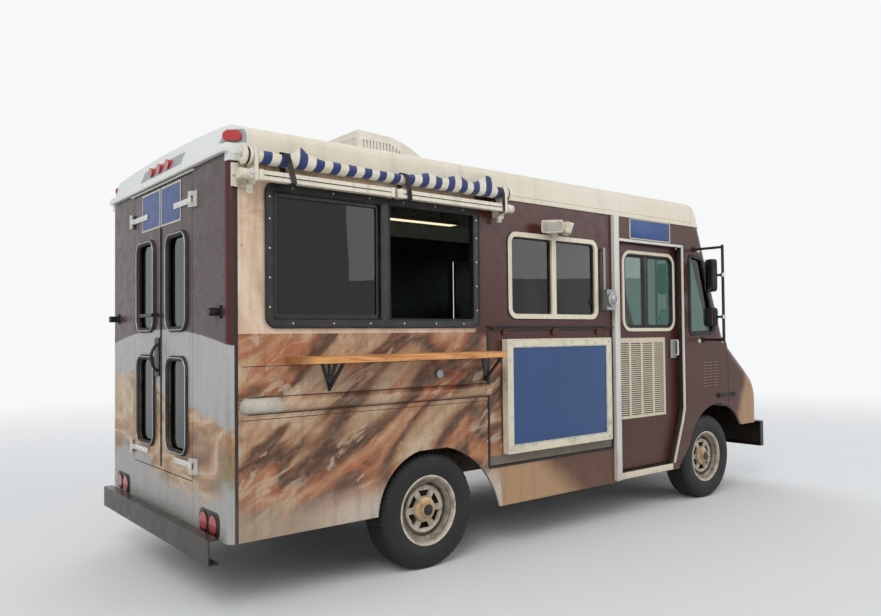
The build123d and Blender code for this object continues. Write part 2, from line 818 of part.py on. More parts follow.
# Fixed hinge parts: the rear doors' wall plates and pins, the door holders, the hatch's pin strip
hinges = [hatch_hinge]
for z in hinge_zs:
    low, high = z - barrel_half, z + barrel_half
    plate = block(body_rear - strap_thickness, body_rear, hinge_y + 14, hinge_y + 66, low, high)
    for z0, z1 in ((low, z - door_barrel_half), (z + door_barrel_half, high)):
        plate += rod((hinge_x, hinge_y, z0), (hinge_x, hinge_y, z1), barrel_radius)
        plate += block(hinge_x - 4, hinge_x + 4, hinge_y, hinge_y + 30, z0, z1)
        plate += block(hinge_x - 4, body_rear, hinge_y + 22, hinge_y + 30, z0, z1)
    plate += rod((hinge_x, hinge_y, low), (hinge_x, hinge_y, high), hinge_pin)
    hinges += [plate, across(plate)]
holder_y = 900
holder_z = 1615
holder_out = 60
holder_half = 34
holder = block(
    body_rear - 10, body_rear, holder_y - holder_half, holder_y + holder_half, holder_z - 35, holder_z + 35
)
holder += rod((body_rear - holder_out, holder_y, holder_z), (body_rear - 9, holder_y, holder_z), 22)
hinges += [holder, across(holder)]
save("hinges", *hinges)

# Sliding cab doors: a leaf behind the opening, hung in a track above it
cab_leaf_face = half_width - 60
cab_leaf_thickness = 30
leaf_lap = 10
cab_leaf_bottom = sill_top + 6
cab_leaf_top = door_head + leaf_lap
cab_window = (post_back + 232, post_back + 890, 1526, 2125)
cab_sash = (post_back + 499, post_back + 540)
cab_window_radius = 70
handle_x = door_jamb_front - 62
handle_half = 38
handle_zs = (1262, 1422)
handle_proud = 14
pull_offset = 26
pull_out = 40
cab_pull_radius = 8


def cab_leaf_outline():
    front = door_jamb_front + leaf_lap
    back = door_jamb_back - leaf_lap
    low = cab_leaf_bottom
    return make_face(
        Line((back, low), (back, cab_leaf_top))
        + Line((back, cab_leaf_top), (front, cab_leaf_top))
        + Line((front, cab_leaf_top), (front, 815))
        + ThreePointArc((front, 815), (front - 32, 720), (front - 163, low))
        + Line((front - 163, low), (back, low))
    )


def window_openings(window, sash, radius, inset):
    """The two halves of a sliding-sash window on either side of its middle bar."""
    x0, x1, z0, z1 = window
    whole = panel_cut(x0 + inset, x1 - inset, z0 + inset, z1 - inset, radius - inset)
    back = whole & Pos((x0 + sash[0]) / 2, (z0 + z1) / 2) * Rectangle(sash[0] - x0 - 2 * inset, z1 - z0)
    front = whole & Pos((sash[1] + x1) / 2, (z0 + z1) / 2) * Rectangle(x1 - sash[1] - 2 * inset, z1 - z0)
    return back, front


hanger_xs = (door_jamb_back + 120, door_jamb_front - 120)
hanger_half = 30
track_base = cab_leaf_top + 10
lip_top = track_base + 12
hanger_top = lip_top + 20
neck_half = 7
head_half = 14
track_gap = 1.5
leaf_middle_y = cab_leaf_face - cab_leaf_thickness / 2


def cab_leaf():
    """The right-hand leaf with its hangers and pull handle."""
    leaf = prism_y(cab_leaf_outline(), -cab_leaf_face, -cab_leaf_face + cab_leaf_thickness)
    for opening in window_openings(cab_window, cab_sash, cab_window_radius, 0):
        leaf -= prism_y(opening, -cab_leaf_face - 1, -cab_leaf_face + cab_leaf_thickness + 1)
    neck = (neck_half, cab_leaf_top - 1, hanger_top - 1)
    head = (head_half, lip_top + seat_gap, hanger_top)
    for x in hanger_xs:
        for half, z0, z1 in (neck, head):
            y0, y1 = -leaf_middle_y - half, -leaf_middle_y + half
            leaf += block(x - hanger_half, x + hanger_half, y0, y1, z0, z1)
    x0, x1 = handle_x - handle_half, handle_x + handle_half
    leaf += block(x0, x1, -cab_leaf_face - handle_proud, -cab_leaf_face + 1, *handle_zs)
    pull_x = handle_x + pull_offset
    pull_y = -cab_leaf_face - pull_out
    low, high = handle_zs[0] + 28, handle_zs[1] - 10
    leaf += rod((pull_x, pull_y, low), (pull_x, pull_y, high), cab_pull_radius)
    for z in (low, high):
        leaf += rod((pull_x, pull_y, z), (pull_x, -cab_leaf_face, z), cab_pull_radius)
    return leaf


cab_leaf_plain = cab_leaf()
save("cab_door_left", across(cab_leaf_plain))

# Louvred panel in the lower half of the serving side's cab door
vent = (post_back + 124, post_back + 776, 786, 1440)
vent_frame = 26
vent_columns = 4
vent_pitch = 17
vent_slot = 8
vent_proud = 4
v_x0, v_x1, v_z0, v_z1 = vent
vent_panel = block(v_x0, v_x1, -cab_leaf_face - vent_proud, -cab_leaf_face + 1, v_z0, v_z1)
vent_column_width = (v_x1 - v_x0 - vent_frame) / vent_columns - vent_frame
vent_rows = int((v_z1 - v_z0 - 2 * vent_frame) / vent_pitch)
cab_door_right = cab_leaf_plain + vent_panel
slot_y = (-cab_leaf_face - vent_proud - 1, -cab_leaf_face + 6)
slots = []
for column in range(vent_columns):
    x = v_x0 + vent_frame + column * (vent_column_width + vent_frame)
    for row in range(vent_rows):
        z = v_z0 + vent_frame + row * vent_pitch
        slots.append(block(x, x + vent_column_width, *slot_y, z, z + vent_slot))
cab_door_right = cab_door_right - Compound(children=slots)
save("cab_door_right", cab_door_right)
cab_panes = [
    prism_y(o, -cab_leaf_face + 12, -cab_leaf_face + 12 + glass)
    for o in window_openings(cab_window, cab_sash, cab_window_radius, seat_gap)
]
save("cab_door_glass_right", *cab_panes)
save("cab_door_glass_left", *[across(p) for p in cab_panes])

# Door tracks above both cab doors, long enough for the slide to the rear
cab_door_travel = 650
track_back = door_jamb_back - cab_door_travel - 20
track_front = door_jamb_front + 20
track_top = hanger_top + 20
track_inner = -leaf_middle_y + 30
track = block(track_back, track_front, -wall_inner, track_inner, track_base, track_top)
for half, z0, z1 in ((neck_half, track_base - 1, hanger_top), (head_half, lip_top, hanger_top + track_gap)):
    half += track_gap
    track -= block(track_back + 12, track_front - 12, -leaf_middle_y - half, -leaf_middle_y + half, z0, z1)
save("door_tracks", track, across(track))

# Nose: one tilting hood ahead of the seam, open at the back and below
nose_slope = (screen_base_z - nose_slope_end_z) / (nose_slope_end_x - seam_x)
nose_bend_radius = 337
hood_back = seam_x + leaf_gap


def nose_solid(inset):
    """The outside of the nose, or its inside when inset by the skin."""
    y = half_width - inset
    face_x = nose_face - inset
    drop = inset * math.hypot(1, nose_slope)
    back = hood_back - (10 if inset else 0)
    low = nose_bottom - (10 if inset else 0)
    bend_z = screen_base_z - (face_x - seam_x) * nose_slope - drop
    back_z = screen_base_z - (back - seam_x) * nose_slope - drop
    outline = make_face(
        Polyline((back, low), (back, back_z), (face_x, bend_z), (face_x, low), (back, low))
    )
    solid = prism_y(outline, -y, y)
    across_edges = solid.edges().filter_by(Axis.Y)
    bend = [e for e in across_edges if abs(e.center().X - face_x) < 1 and e.center().Z > low + 1]
    solid = fillet(bend, nose_bend_radius - inset)
    rim = [
        e
        for e in solid.edges()
        if abs(abs(e.center().Y) - y) < 0.01 and e.center().X > back + 1 and e.center().Z > low + 1
    ]
    return fillet(rim, nose_corner - inset)


grille_half = 850
grille_z = (685, 1000)
grille_back = nose_face - 150
nose_outer = nose_solid(0)
hood_shell = nose_outer - nose_solid(hood_skin)
hood_shell -= prism_y(front_arch(), -half_width - 1, half_width + 1)
hood_shell -= block(grille_back - 100, nose_face + 1, -grille_half, grille_half, *grille_z)
hood_pivot_x = front_axle_x + 878
hood_pivot_z = 606
hood_ears = (415 - 24, 415 + 24)
ear_width = 15
ear_radius = 14
pivot_pin = 7
for side in (-1, 1):
    for centre in hood_ears:
        y0, y1 = sorted((side * (centre - ear_width / 2), side * (centre + ear_width / 2)))
        hood_shell += block(nose_face - 5, hood_pivot_x, y0, y1, hood_pivot_z, hood_pivot_z + 24)
        hood_shell += rod((hood_pivot_x, y0, hood_pivot_z), (hood_pivot_x, y1, hood_pivot_z), ear_radius)
    y0, y1 = sorted((side * (hood_ears[0] - ear_width / 2), side * (hood_ears[1] + ear_width / 2)))
    hood_shell += rod((hood_pivot_x, y0, hood_pivot_z), (hood_pivot_x, y1, hood_pivot_z), pivot_pin)
save("hood", hood_shell)

# Grille panel let into the nose, with round headlamps and parking lamps
grille_depth = 34
lamp_y = 705
lamp_z = 862
lamp_radius = 89
lamp_dome = 18
lamp_depth = 60
park_z = 726
park_half = (62, 22)
grille_slot_half = 540
grille_slots = 7
grille_slot_pitch = 38
grille_slot_height = 22
seated_half = grille_half - seat_gap
grille = nose_solid(4) & block(
    grille_back, nose_face + 1, -seated_half, seated_half, grille_z[0] + seat_gap, grille_z[1] - seat_gap
)
grille -= nose_solid(4 + grille_depth)
for side in (-1, 1):
    centre = side * lamp_y
    grille -= rod((grille_back, centre, lamp_z), (nose_face + 10, centre, lamp_z), lamp_radius + seat_gap)
    park_y = (centre - park_half[0], centre + park_half[0])
    grille -= block(grille_back, nose_face, *park_y, park_z - park_half[1], park_z + park_half[1])
for n in range(grille_slots):
    z = grille_z[0] + 30 + n * grille_slot_pitch
    grille -= block(grille_back, nose_face, -grille_slot_half, grille_slot_half, z, z + grille_slot_height)
save("grille", grille)
lamps = []
for side in (-1, 1):
    centre = side * lamp_y
    face_x = nose_face - 36
    can = rod((face_x - lamp_depth, centre, lamp_z), (face_x + lamp_dome, centre, lamp_z), lamp_radius)
    rim_edge = can.edges().filter_by(GeomType.CIRCLE).sort_by(Axis.X)[-1]
    lamps.append(fillet(rim_edge, lamp_dome))
    lamps.append(
        block(
            nose_face - 45,
            nose_face - 6,
            centre - park_half[0] + seat_gap,
            centre + park_half[0] - seat_gap,
            park_z - park_half[1] + seat_gap,
            park_z + park_half[1] - seat_gap,
        )
    )
save("headlamps", *lamps)

# Frame: channel rails open inwards, cross members, and the lugs the hood tilts on
rail_y = (380, 450)
rail_zs = (450, 640)
rail_skin = 8
rail_low_top = 585
frame_back = body_rear + 100
frame_drop_x = front_axle_x + 700
bumper_back = front_axle_x + 910
cross_xs = (frame_back + 60, rear_axle_x + 640, front_axle_x - 1500, front_axle_x + 570)
cross_half = 35
cross_zs = (532, 606)
frame_side = block(frame_back, frame_drop_x, *rail_y, *rail_zs)
channel = (rail_y[0] - 1, rail_y[1] - rail_skin)
channel_low = rail_zs[0] + rail_skin
frame_side -= block(frame_back - 1, frame_drop_x + 1, *channel, channel_low, rail_zs[1] - rail_skin)
horn = block(frame_drop_x, bumper_back, *rail_y, rail_zs[0], rail_low_top)
horn -= block(frame_drop_x - 1, bumper_back + 1, *channel, channel_low, rail_low_top - rail_skin)
frame_side += horn
lug_y = (405, 425)
lug = block(hood_pivot_x - ear_radius, hood_pivot_x + ear_radius, *lug_y, rail_low_top, hood_pivot_z)
lug += rod((hood_pivot_x, lug_y[0], hood_pivot_z), (hood_pivot_x, lug_y[1], hood_pivot_z), ear_radius)
lug -= rod(
    (hood_pivot_x, lug_y[0] - 1, hood_pivot_z),
    (hood_pivot_x, lug_y[1] + 1, hood_pivot_z),
    pivot_pin + pin_gap,
)
frame_side += lug
chassis = frame_side + across(frame_side)
for x in cross_xs:
    top = min(cross_zs[1], rail_low_top - rail_skin - 2) if x > frame_drop_x else cross_zs[1]
    chassis += block(x - cross_half, x + cross_half, -channel[1], channel[1], cross_zs[0], top)
save("chassis_frame", chassis)

# Bumpers
bumper_half = 1000
bumper_zs = (370, 610)
bumper_skin = 8
bumper_corner = 60
plate_hole_pitch = 178
plate_hole_radius = 3.5
plate_hole_z = 490


def bumper_plan(inset):
    y = bumper_half - inset
    front = front_bumper_face - inset
    back = bumper_back - (5 if inset else 0)
    return make_face(
        FilletPolyline((back, -y), (front, -y), (front, y), (back, y), radius=bumper_corner - inset)
        + Line((back, y), (back, -y))
    )


front_bumper = prism_z(bumper_plan(0), *bumper_zs)
front_bumper -= prism_z(bumper_plan(bumper_skin), bumper_zs[0] + bumper_skin, bumper_zs[1] - bumper_skin)
for side in (-1, 1):
    y0, y1 = sorted((side * (rail_y[0] - 10), side * (rail_y[1] + 10)))
    front_bumper += block(
        bumper_back, front_bumper_face - bumper_skin, y0, y1, rail_zs[0] - 10, rail_low_top + 5
    )
    hole_y = side * plate_hole_pitch / 2
    front_bumper -= rod(
        (front_bumper_face - bumper_skin - 2, hole_y, plate_hole_z),
        (front_bumper_face + 2, hole_y, plate_hole_z),
        plate_hole_radius,
    )
save("front_bumper", front_bumper)

rear_bumper_half = 950
rear_bumper_zs = (290, 425)
rear_bumper_depth = 58
rear_bracket_top = 392
rear_bumper_front = rear_bumper_face + rear_bumper_depth
rear_bumper = block(rear_bumper_face, rear_bumper_front, -rear_bumper_half, rear_bumper_half, *rear_bumper_zs)
rear_bumper -= block(
    rear_bumper_face + bumper_skin,
    rear_bumper_front + 1,
    -rear_bumper_half - 1,
    rear_bumper_half + 1,
    rear_bumper_zs[0] + bumper_skin,
    rear_bumper_zs[1] - bumper_skin,
)
for side in (-1, 1):
    y0, y1 = sorted((side * rail_y[0], side * rail_y[1]))
    bracket_low = rear_bracket_top - 50
    bracket_end = frame_back + 90
    rear_bumper += block(
        rear_bumper_face + bumper_skin - 1, bracket_end, y0, y1, bracket_low, rear_bracket_top
    )
    rear_bumper += block(bracket_end - 60, bracket_end, y0, y1, bracket_low, rail_zs[0])
save("rear_bumper", rear_bumper)

# Wheels, drawn about the Y axis with the outer side towards +Y, then set in place
spindle_radius = 25
spindle_end = 55
hub_inner = -3
disc_windows = 6
window_radii = (86, 128)
window_half_angles = (17, 20)


def turned(points):
    """A solid of revolution about Y from (radius, offset) points."""
    return revolve(make_face(Polyline(*points, points[0])), Axis.Y)


def wheel_rim():
    r = rim_flange_radius
    seat = rim_seat_radius
    edge = rim_width / 2
    barrel = turned(
        [
            (r, edge), (r, edge - 7), (seat, edge - 10), (seat, 60), (178, 46), (178, -28), (seat, -56),
            (seat, -edge + 10), (r, -edge + 7), (r, -edge), (r - 9, -edge), (seat - 8, -edge + 15),
            (seat - 8, -58), (170, -32), (170, 50), (seat - 8, 64), (seat - 8, edge - 15), (r - 9, edge),
        ]
    )
    disc = turned(
        [
            (171, 26), (154, 30), (150, 47), (143, 51), (132, 44), (82, 44), (76, 60), (58, 67), (46, 68),
            (44, 82), (38, 87), (0, 89), (0, spindle_end + 3), (spindle_radius + pin_gap, spindle_end + 3),
            (spindle_radius + pin_gap, hub_inner), (60, hub_inner), (60, 34), (130, 34), (144, 36), (148, 20),
            (171, 16),
        ]
    )
    r0, r1 = window_radii
    a0, a1 = (math.radians(a) for a in window_half_angles)
    window = make_face(
        Polyline(
            (r0 * math.sin(a0), r0 * math.cos(a0)),
            (r1 * math.sin(a1), r1 * math.cos(a1)),
            (-r1 * math.sin(a1), r1 * math.cos(a1)),
            (-r0 * math.sin(a0), r0 * math.cos(a0)),
            (r0 * math.sin(a0), r0 * math.cos(a0)),
        )
    )
    for n in range(disc_windows):
        disc -= Rot(0, 360 * n / disc_windows, 0) * prism_y(window, 20, 60)
    return barrel + disc


def wheel_tyre():
    """A closed ring of flat facets: the middles of its facets lie on the real radii."""
    bead = rim_seat_radius + seat_gap
    half = tyre_width / 2
    lip = rim_flange_radius + 0.5
    side = [(bead, 84), (lip, 87), (lip + 1, 97), (300, half), (354, half - 16), (tyre_radius, half - 38)]
    profile = side + [(r, -a) for r, a in reversed(side)]
    reach = 1 / math.cos(math.pi / tyre_facets)
    rings = []
    for n in range(tyre_facets):
        turn = 2 * math.pi * (n + 0.5) / tyre_facets
        rings.append([(r * reach * math.sin(turn), a, r * reach * math.cos(turn)) for r, a in profile])
    faces = []
    for here, there in zip(rings, rings[1:] + rings[:1]):
        for i in range(len(profile)):
            corners = (here[i - 1], here[i], there[i], there[i - 1])
            faces.append(Face(Wire.make_polygon(corners, close=True)))
    return Solid(Shell(faces))


rim = wheel_rim()
tyre = wheel_tyre()
wheel_places = (
    ("front_left", front_axle_x, 1),
    ("front_right", front_axle_x, -1),
    ("rear_left", rear_axle_x, 1),
    ("rear_right", rear_axle_x, -1),
)
for name, x, side in wheel_places:
    for piece, shape in (("rim", rim), ("tyre", tyre)):
        placed = shape if side > 0 else across(shape)
        save(f"{piece}_{name}", Pos(x, side * wheel_plane, tyre_radius) * placed)

# Steering knuckles: a fork and pin around the axle eye, a spindle and a backing plate
eye_half = 45
eye_outer = 28
fork_gap = 6
fork_height = 24
king_pin = 14
fork_face = 34
fork_plate = 16
backing_radius = 150
backing_face = wheel_plane + hub_inner - 20
axle_z = tyre_radius


def spindle(start_y):
    end_y = wheel_plane + spindle_end
    stub = rod((0, start_y, axle_z), (0, end_y, axle_z), spindle_radius)
    return stub + rod((0, backing_face, axle_z), (0, backing_face + 12, axle_z), backing_radius)


def knuckle():
    top = eye_half + fork_gap + fork_height
    plate_y = kingpin_y + fork_face
    shape = block(-eye_half, eye_half, plate_y, plate_y + fork_plate, axle_z - top, axle_z + top)
    for side in (-1, 1):
        z0, z1 = sorted((axle_z + side * (eye_half + fork_gap), axle_z + side * top))
        shape += rod((0, kingpin_y, z0), (0, kingpin_y, z1), eye_outer)
        shape += block(-eye_outer, eye_outer, kingpin_y, plate_y + 1, z0, z1)
    shape += rod((0, kingpin_y, axle_z - top), (0, kingpin_y, axle_z + top), king_pin)
    return Pos(front_axle_x, 0, 0) * (shape + spindle(plate_y))


knuckle_left = knuckle()
save("knuckle_left", knuckle_left)
save("knuckle_right", across(knuckle_left))

# Axles on leaf springs, with the drive shaft
beam_half = 35
beam_zs = (axle_z - 36, axle_z + 30)
spring_y = (388, 442)
spring_half = 570
spring_leaf = 28


def spring(x, low):
    """A leaf pack from the axle's top to the underside of the frame rail at both ends."""
    top = rail_zs[0]
    return prism_y(
        make_face(
            Polyline(
                (x - spring_half, top),
                (x - spring_half, top - 14),
                (x - spring_half / 2, low + 10),
                (x, low),
                (x + spring_half / 2, low + 10),
                (x + spring_half, top - 14),
                (x + spring_half, top),
                (x + spring_half - 50, top),
                (x + spring_half / 2, low + 10 + spring_leaf * 0.8),
                (x, low + spring_leaf),
                (x - spring_half / 2, low + 10 + spring_leaf * 0.8),
                (x - spring_half + 50, top),
                (x - spring_half, top),
            )
        ),
        *spring_y,
    )


front_axle = block(front_axle_x - beam_half, front_axle_x + beam_half, -kingpin_y, kingpin_y, *beam_zs)
front_spring = spring(front_axle_x, beam_zs[1] - 0.5)
front_axle += front_spring + across(front_spring)
for side in (-1, 1):
    y = side * kingpin_y
    beam_end = sorted((y, y - side * 24))
    front_axle -= block(front_axle_x - 60, front_axle_x + 60, *beam_end, axle_z - 100, axle_z + 100)
    front_axle += rod((front_axle_x, y, axle_z - eye_half), (front_axle_x, y, axle_z + eye_half), eye_outer)
    front_axle -= rod((front_axle_x, y, axle_z - 60), (front_axle_x, y, axle_z + 60), king_pin + pin_gap)
save("front_axle", front_axle)

tube_radius = 45
diff_radius = 145
gearbox_back = front_axle_x - 900
shaft_z = 520
rear_spring = spring(rear_axle_x, axle_z + tube_radius - 2)
tube_half = backing_face + 1
rear_axle = rod((rear_axle_x, -tube_half, axle_z), (rear_axle_x, tube_half, axle_z), tube_radius)
rear_axle += rear_spring + across(rear_spring)
rear_axle += Pos(rear_axle_x, 0, axle_z) * Sphere(diff_radius)
rear_axle += rod((rear_axle_x + 100, 0, axle_z), (rear_axle_x + 230, 0, axle_z + 14), 60)
rear_axle += rod((rear_axle_x + 180, 0, axle_z + 4), (gearbox_back - 30, 0, shaft_z), 38)
rear_axle += rod((gearbox_back - 50, 0, shaft_z), (gearbox_back, 0, shaft_z), 45)
stub = Pos(rear_axle_x, 0, 0) * spindle(backing_face)
rear_axle += stub + across(stub)
save("rear_axle", rear_axle)

# Engine block, gearbox, radiator and exhaust
engine_back = front_axle_x - 350
engine_front = front_axle_x + 450
engine_half = 290
engine_zs = (432, 1080)
exhaust_y = -220
exhaust_z = 488
exhaust_end = frame_back + 30
muffler = (rear_axle_x + 780, rear_axle_x + 1530)
engine = block(engine_back, engine_front, -engine_half, engine_half, *engine_zs)
engine += block(gearbox_back, engine_back, -130, 130, 432, 632)
engine += block(engine_front, engine_front + 100, -60, 60, 700, 860)
engine += block(engine_front + 100, engine_front + 170, -340, 340, 620, 1020)
save("engine", engine)
exhaust = rod((engine_back, exhaust_y, exhaust_z), (exhaust_end, exhaust_y, exhaust_z), 28)
exhaust += rod((muffler[0], exhaust_y, exhaust_z), (muffler[1], exhaust_y, exhaust_z), 78)
for x in cross_xs[:3]:
    exhaust += block(x - 12, x + 12, exhaust_y - 12, exhaust_y + 12, exhaust_z, cross_zs[0])
tank = block(front_axle_x - 2300, front_axle_x - 1650, rail_y[1], 880, 340, 610)
save("exhaust", exhaust)
save("fuel_tank", tank)

# Floor with wheel wells, step wells, pockets for the sliding doors and the engine opening
well_half = 500
well_inner_y = 620
well_top = 800
sheet_metal = 15
step_inner_y = 560
step_tread_z = sill_top - 4
step_skin = 10
pocket_y = half_width - 100
wheelhouse_top = 870
engine_hole_half = 340
engine_hole_back = front_axle_x - 560
firewall_x = front_axle_x + 235
pocket_back = door_jamb_back - cab_door_travel - 40
slope_foot = (door_jamb_front - 135, sill_top - 13)
slope_knee = (door_jamb_front, 722)
slope_head = (door_jamb_front + 25, wheelhouse_top)

floor = block(body_rear + wall, firewall_x, -wall_inner, wall_inner, floor_under, floor_top)
cut_zs = (floor_under - 1, floor_top + 1)
floor -= block(engine_hole_back, firewall_x + 1, -engine_hole_half, engine_hole_half, *cut_zs)
half_floor_cuts = [
    block(rear_axle_x - well_half, rear_axle_x + well_half, well_inner_y, wall_inner + 1, *cut_zs),
    block(pocket_back, door_jamb_back, pocket_y, wall_inner + 1, *cut_zs),
    block(door_jamb_back, firewall_x + 1, step_inner_y, wall_inner + 1, *cut_zs),
]
wheel_well = block(
    rear_axle_x - well_half,
    rear_axle_x + well_half,
    well_inner_y - sheet_metal,
    wall_inner,
    floor_under,
    well_top,
)
wheel_well -= block(
    rear_axle_x - well_half + sheet_metal,
    rear_axle_x + well_half - sheet_metal,
    well_inner_y,
    wall_inner + 1,
    floor_under - 1,
    well_top - sheet_metal,
)
slope = make_face(
    Polyline(
        slope_foot,
        slope_knee,
        slope_head,
        (slope_head[0] + 12, slope_head[1]),
        (slope_knee[0] + 12, slope_knee[1]),
        (slope_foot[0] + 14, slope_foot[1]),
        slope_foot,
    )
)
step_well = prism_y(slope, step_inner_y, wall_inner)
tread_low = step_tread_z - step_skin
step_well += block(
    door_jamb_back, slope_foot[0] + 8, step_inner_y, wall_inner - skirt_skin, tread_low, step_tread_z
)
step_back = (door_jamb_back, door_jamb_back + step_skin)
step_side = (step_inner_y - step_skin, step_inner_y)
step_well += block(*step_back, step_inner_y, pocket_y, tread_low + 5, floor_top)
step_well += block(door_jamb_back, slope_knee[0], *step_side, tread_low, floor_top)
step_well -= prism_y(
    make_face(
        Polyline(
            (slope_foot[0] + 14, slope_foot[1] - 20),
            (slope_foot[0] + 14, slope_foot[1]),
            (slope_knee[0] + 12, slope_knee[1]),
            (slope_knee[0] + 40, slope_foot[1] - 20),
            (slope_foot[0] + 14, slope_foot[1] - 20),
        )
    ),
    step_inner_y - 20,
    wall_inner + 1,
)
wheelhouse_front = seam_x - wall
wheelhouse = block(
    slope_head[0], wheelhouse_front, step_inner_y, wall_inner, wheelhouse_top - step_skin, wheelhouse_top
)
wheelhouse += block(
    slope_knee[0] - 5, wheelhouse_front, step_inner_y - step_skin, step_inner_y, floor_under, wheelhouse_top
)
for cut in half_floor_cuts:
    floor = floor - cut - across(cut)
for piece in (wheel_well, step_well, wheelhouse):
    floor = floor + piece + across(piece)
save("floor", floor)

# Dash, firewall, engine cover, steering column and wheel
cover_half = 380
cover_top = 1120
cover_skin = 15
cover_back = front_axle_x - 590
dash_zs = (1250, 1392)
steer_y = 450
steer_radius = 205
column_foot = (firewall_x - 14, steer_y, 740)
column_head = (front_axle_x - 330, steer_y, 1332)
firewall_skin = 18
firewall_cut_x = (firewall_x - 1, firewall_x + firewall_skin + 1)
cover_inner = cover_half - cover_skin
cover_inner_top = cover_top - cover_skin
firewall = block(
    firewall_x, firewall_x + firewall_skin, -wall_inner + 2, wall_inner - 2, floor_under, dash_zs[1]
)
firewall -= block(*firewall_cut_x, -cover_inner, cover_inner, floor_under - 1, cover_inner_top)
for side in (-1, 1):
    y0, y1 = sorted((side * (step_inner_y - step_skin - 1), side * wall_inner))
    firewall -= block(*firewall_cut_x, y0, y1, floor_under - 1, wheelhouse_top)
cover = block(cover_back, firewall_x, -cover_half, cover_half, floor_top, cover_top)
cover -= block(
    cover_back + cover_skin, firewall_x + 1, -cover_inner, cover_inner, floor_top - 1, cover_inner_top
)
dash = block(front_axle_x - 40, firewall_x, -wall_inner + 12, wall_inner - 12, *dash_zs)
for side in (-1, 1):
    dash -= cowl_corner_box(side)
    firewall -= cowl_corner_box(side)
column = rod(column_foot, column_head, 24)
column_axis = Vector(*column_head) - Vector(*column_foot)
wheel_plane_3d = Plane(origin=column_head, z_dir=column_axis)
steering = wheel_plane_3d * Torus(steer_radius, 14)
steering += wheel_plane_3d * Cylinder(48, 40)
spoke = Pos(steer_radius / 2, 0, 0) * Box(steer_radius, 26, 12)
for n in range(3):
    steering += wheel_plane_3d * Rot(0, 0, 90 + 120 * n) * spoke
save("dashboard", firewall + cover + dash + column + steering)

# Driver's seat
seat_x = front_axle_x - 840
seat_y = 450
pedestal = block(seat_x - 140, seat_x + 140, seat_y - 120, seat_y + 100, floor_top, 1090)
cushion = Pos(seat_x, seat_y, 1145) * Box(470, 460, 110)
cushion = fillet(cushion.edges().filter_by(Axis.Z) + cushion.edges().group_by(Axis.Z)[-1], 35)
seat_back = Pos(seat_x - 225, seat_y, 1200) * Rot(0, -8, 0) * Pos(0, 0, 300) * Box(95, 440, 640)
seat_back = fillet(seat_back.edges().filter_by(lambda e: e.length < 100), 40)
save("driver_seat", pedestal + cushion + seat_back)

# Kitchen fittings: cooking line and hood on the left, serving counter on the right
well_gap = 12
counter_inner_y = 560
counter_height = 800
cook_height = 900
splash_height = 1350
hood_low = floor_top + splash_height
hood_edge = 90
hood_height = 330
kitchen_back = body_rear + 130
cook_front = rear_axle_x + 1070
counter_top = floor_top + counter_height
serving_counter = block(
    kitchen_back, service_window[1] - 30, -wall_inner, -counter_inner_y, floor_top, counter_top
)
store_x = (hatch_opening[0] + 30, pocket_back - 30)
store_box = block(*store_x, -wall_inner + 10, -counter_inner_y, floor_top, counter_top)
store_box -= block(
    store_x[0] + sheet_metal,
    store_x[1] - sheet_metal,
    -wall_inner - 1,
    -counter_inner_y - sheet_metal,
    floor_top + sheet_metal,
    counter_top - sheet_metal,
)
cook_line = block(kitchen_back, cook_front, counter_inner_y, wall_inner, floor_top, floor_top + cook_height)
splash = block(
    kitchen_back, cook_front, wall_inner - 20, wall_inner, floor_top + cook_height, hood_low + 1
)
hood_inner_y = counter_inner_y - 60
cook_hood_section = make_face(
    Polyline(
        (wall_inner, hood_low),
        (hood_inner_y, hood_low),
        (hood_inner_y, hood_low + hood_edge),
        (wall_inner - 120, hood_low + hood_height),
        (wall_inner, hood_low + hood_height),
        (wall_inner, hood_low),
    )
)
cook_hood = prism_x(cook_hood_section, rear_axle_x - 830, rear_axle_x + 680)
well_clear = well_half + well_gap
for side in (-1, 1):
    y0, y1 = sorted((side * (well_inner_y - sheet_metal - well_gap), side * (wall_inner + 1)))
    clearance = block(
        rear_axle_x - well_clear, rear_axle_x + well_clear, y0, y1, floor_top - 1, well_top + well_gap
    )
    serving_counter -= clearance
    cook_line -= clearance
    store_box -= clearance
save("kitchen_units", serving_counter, store_box, cook_line + splash + cook_hood)

# Ceiling lamp over the aisle
ceiling_lamp_x = (rear_axle_x + 573, rear_axle_x + 1341)
ceiling_lamp_y = (280, 420)
ceiling_lamp_zs = (cap_crown_z - 200, cap_crown_z - 158)
hanger_y = (338, 362)
ceiling_lamp = block(*ceiling_lamp_x, *ceiling_lamp_y, *ceiling_lamp_zs)
for x in (ceiling_lamp_x[0] + 127, ceiling_lamp_x[1] - 127):
    ceiling_lamp += block(x - 12, x + 12, *hanger_y, ceiling_lamp_zs[1] - 2, cap_crown_z - 20)
ceiling_lamp -= cap
save("ceiling_lamp", ceiling_lamp.solids().sort_by(SortBy.VOLUME)[-1])

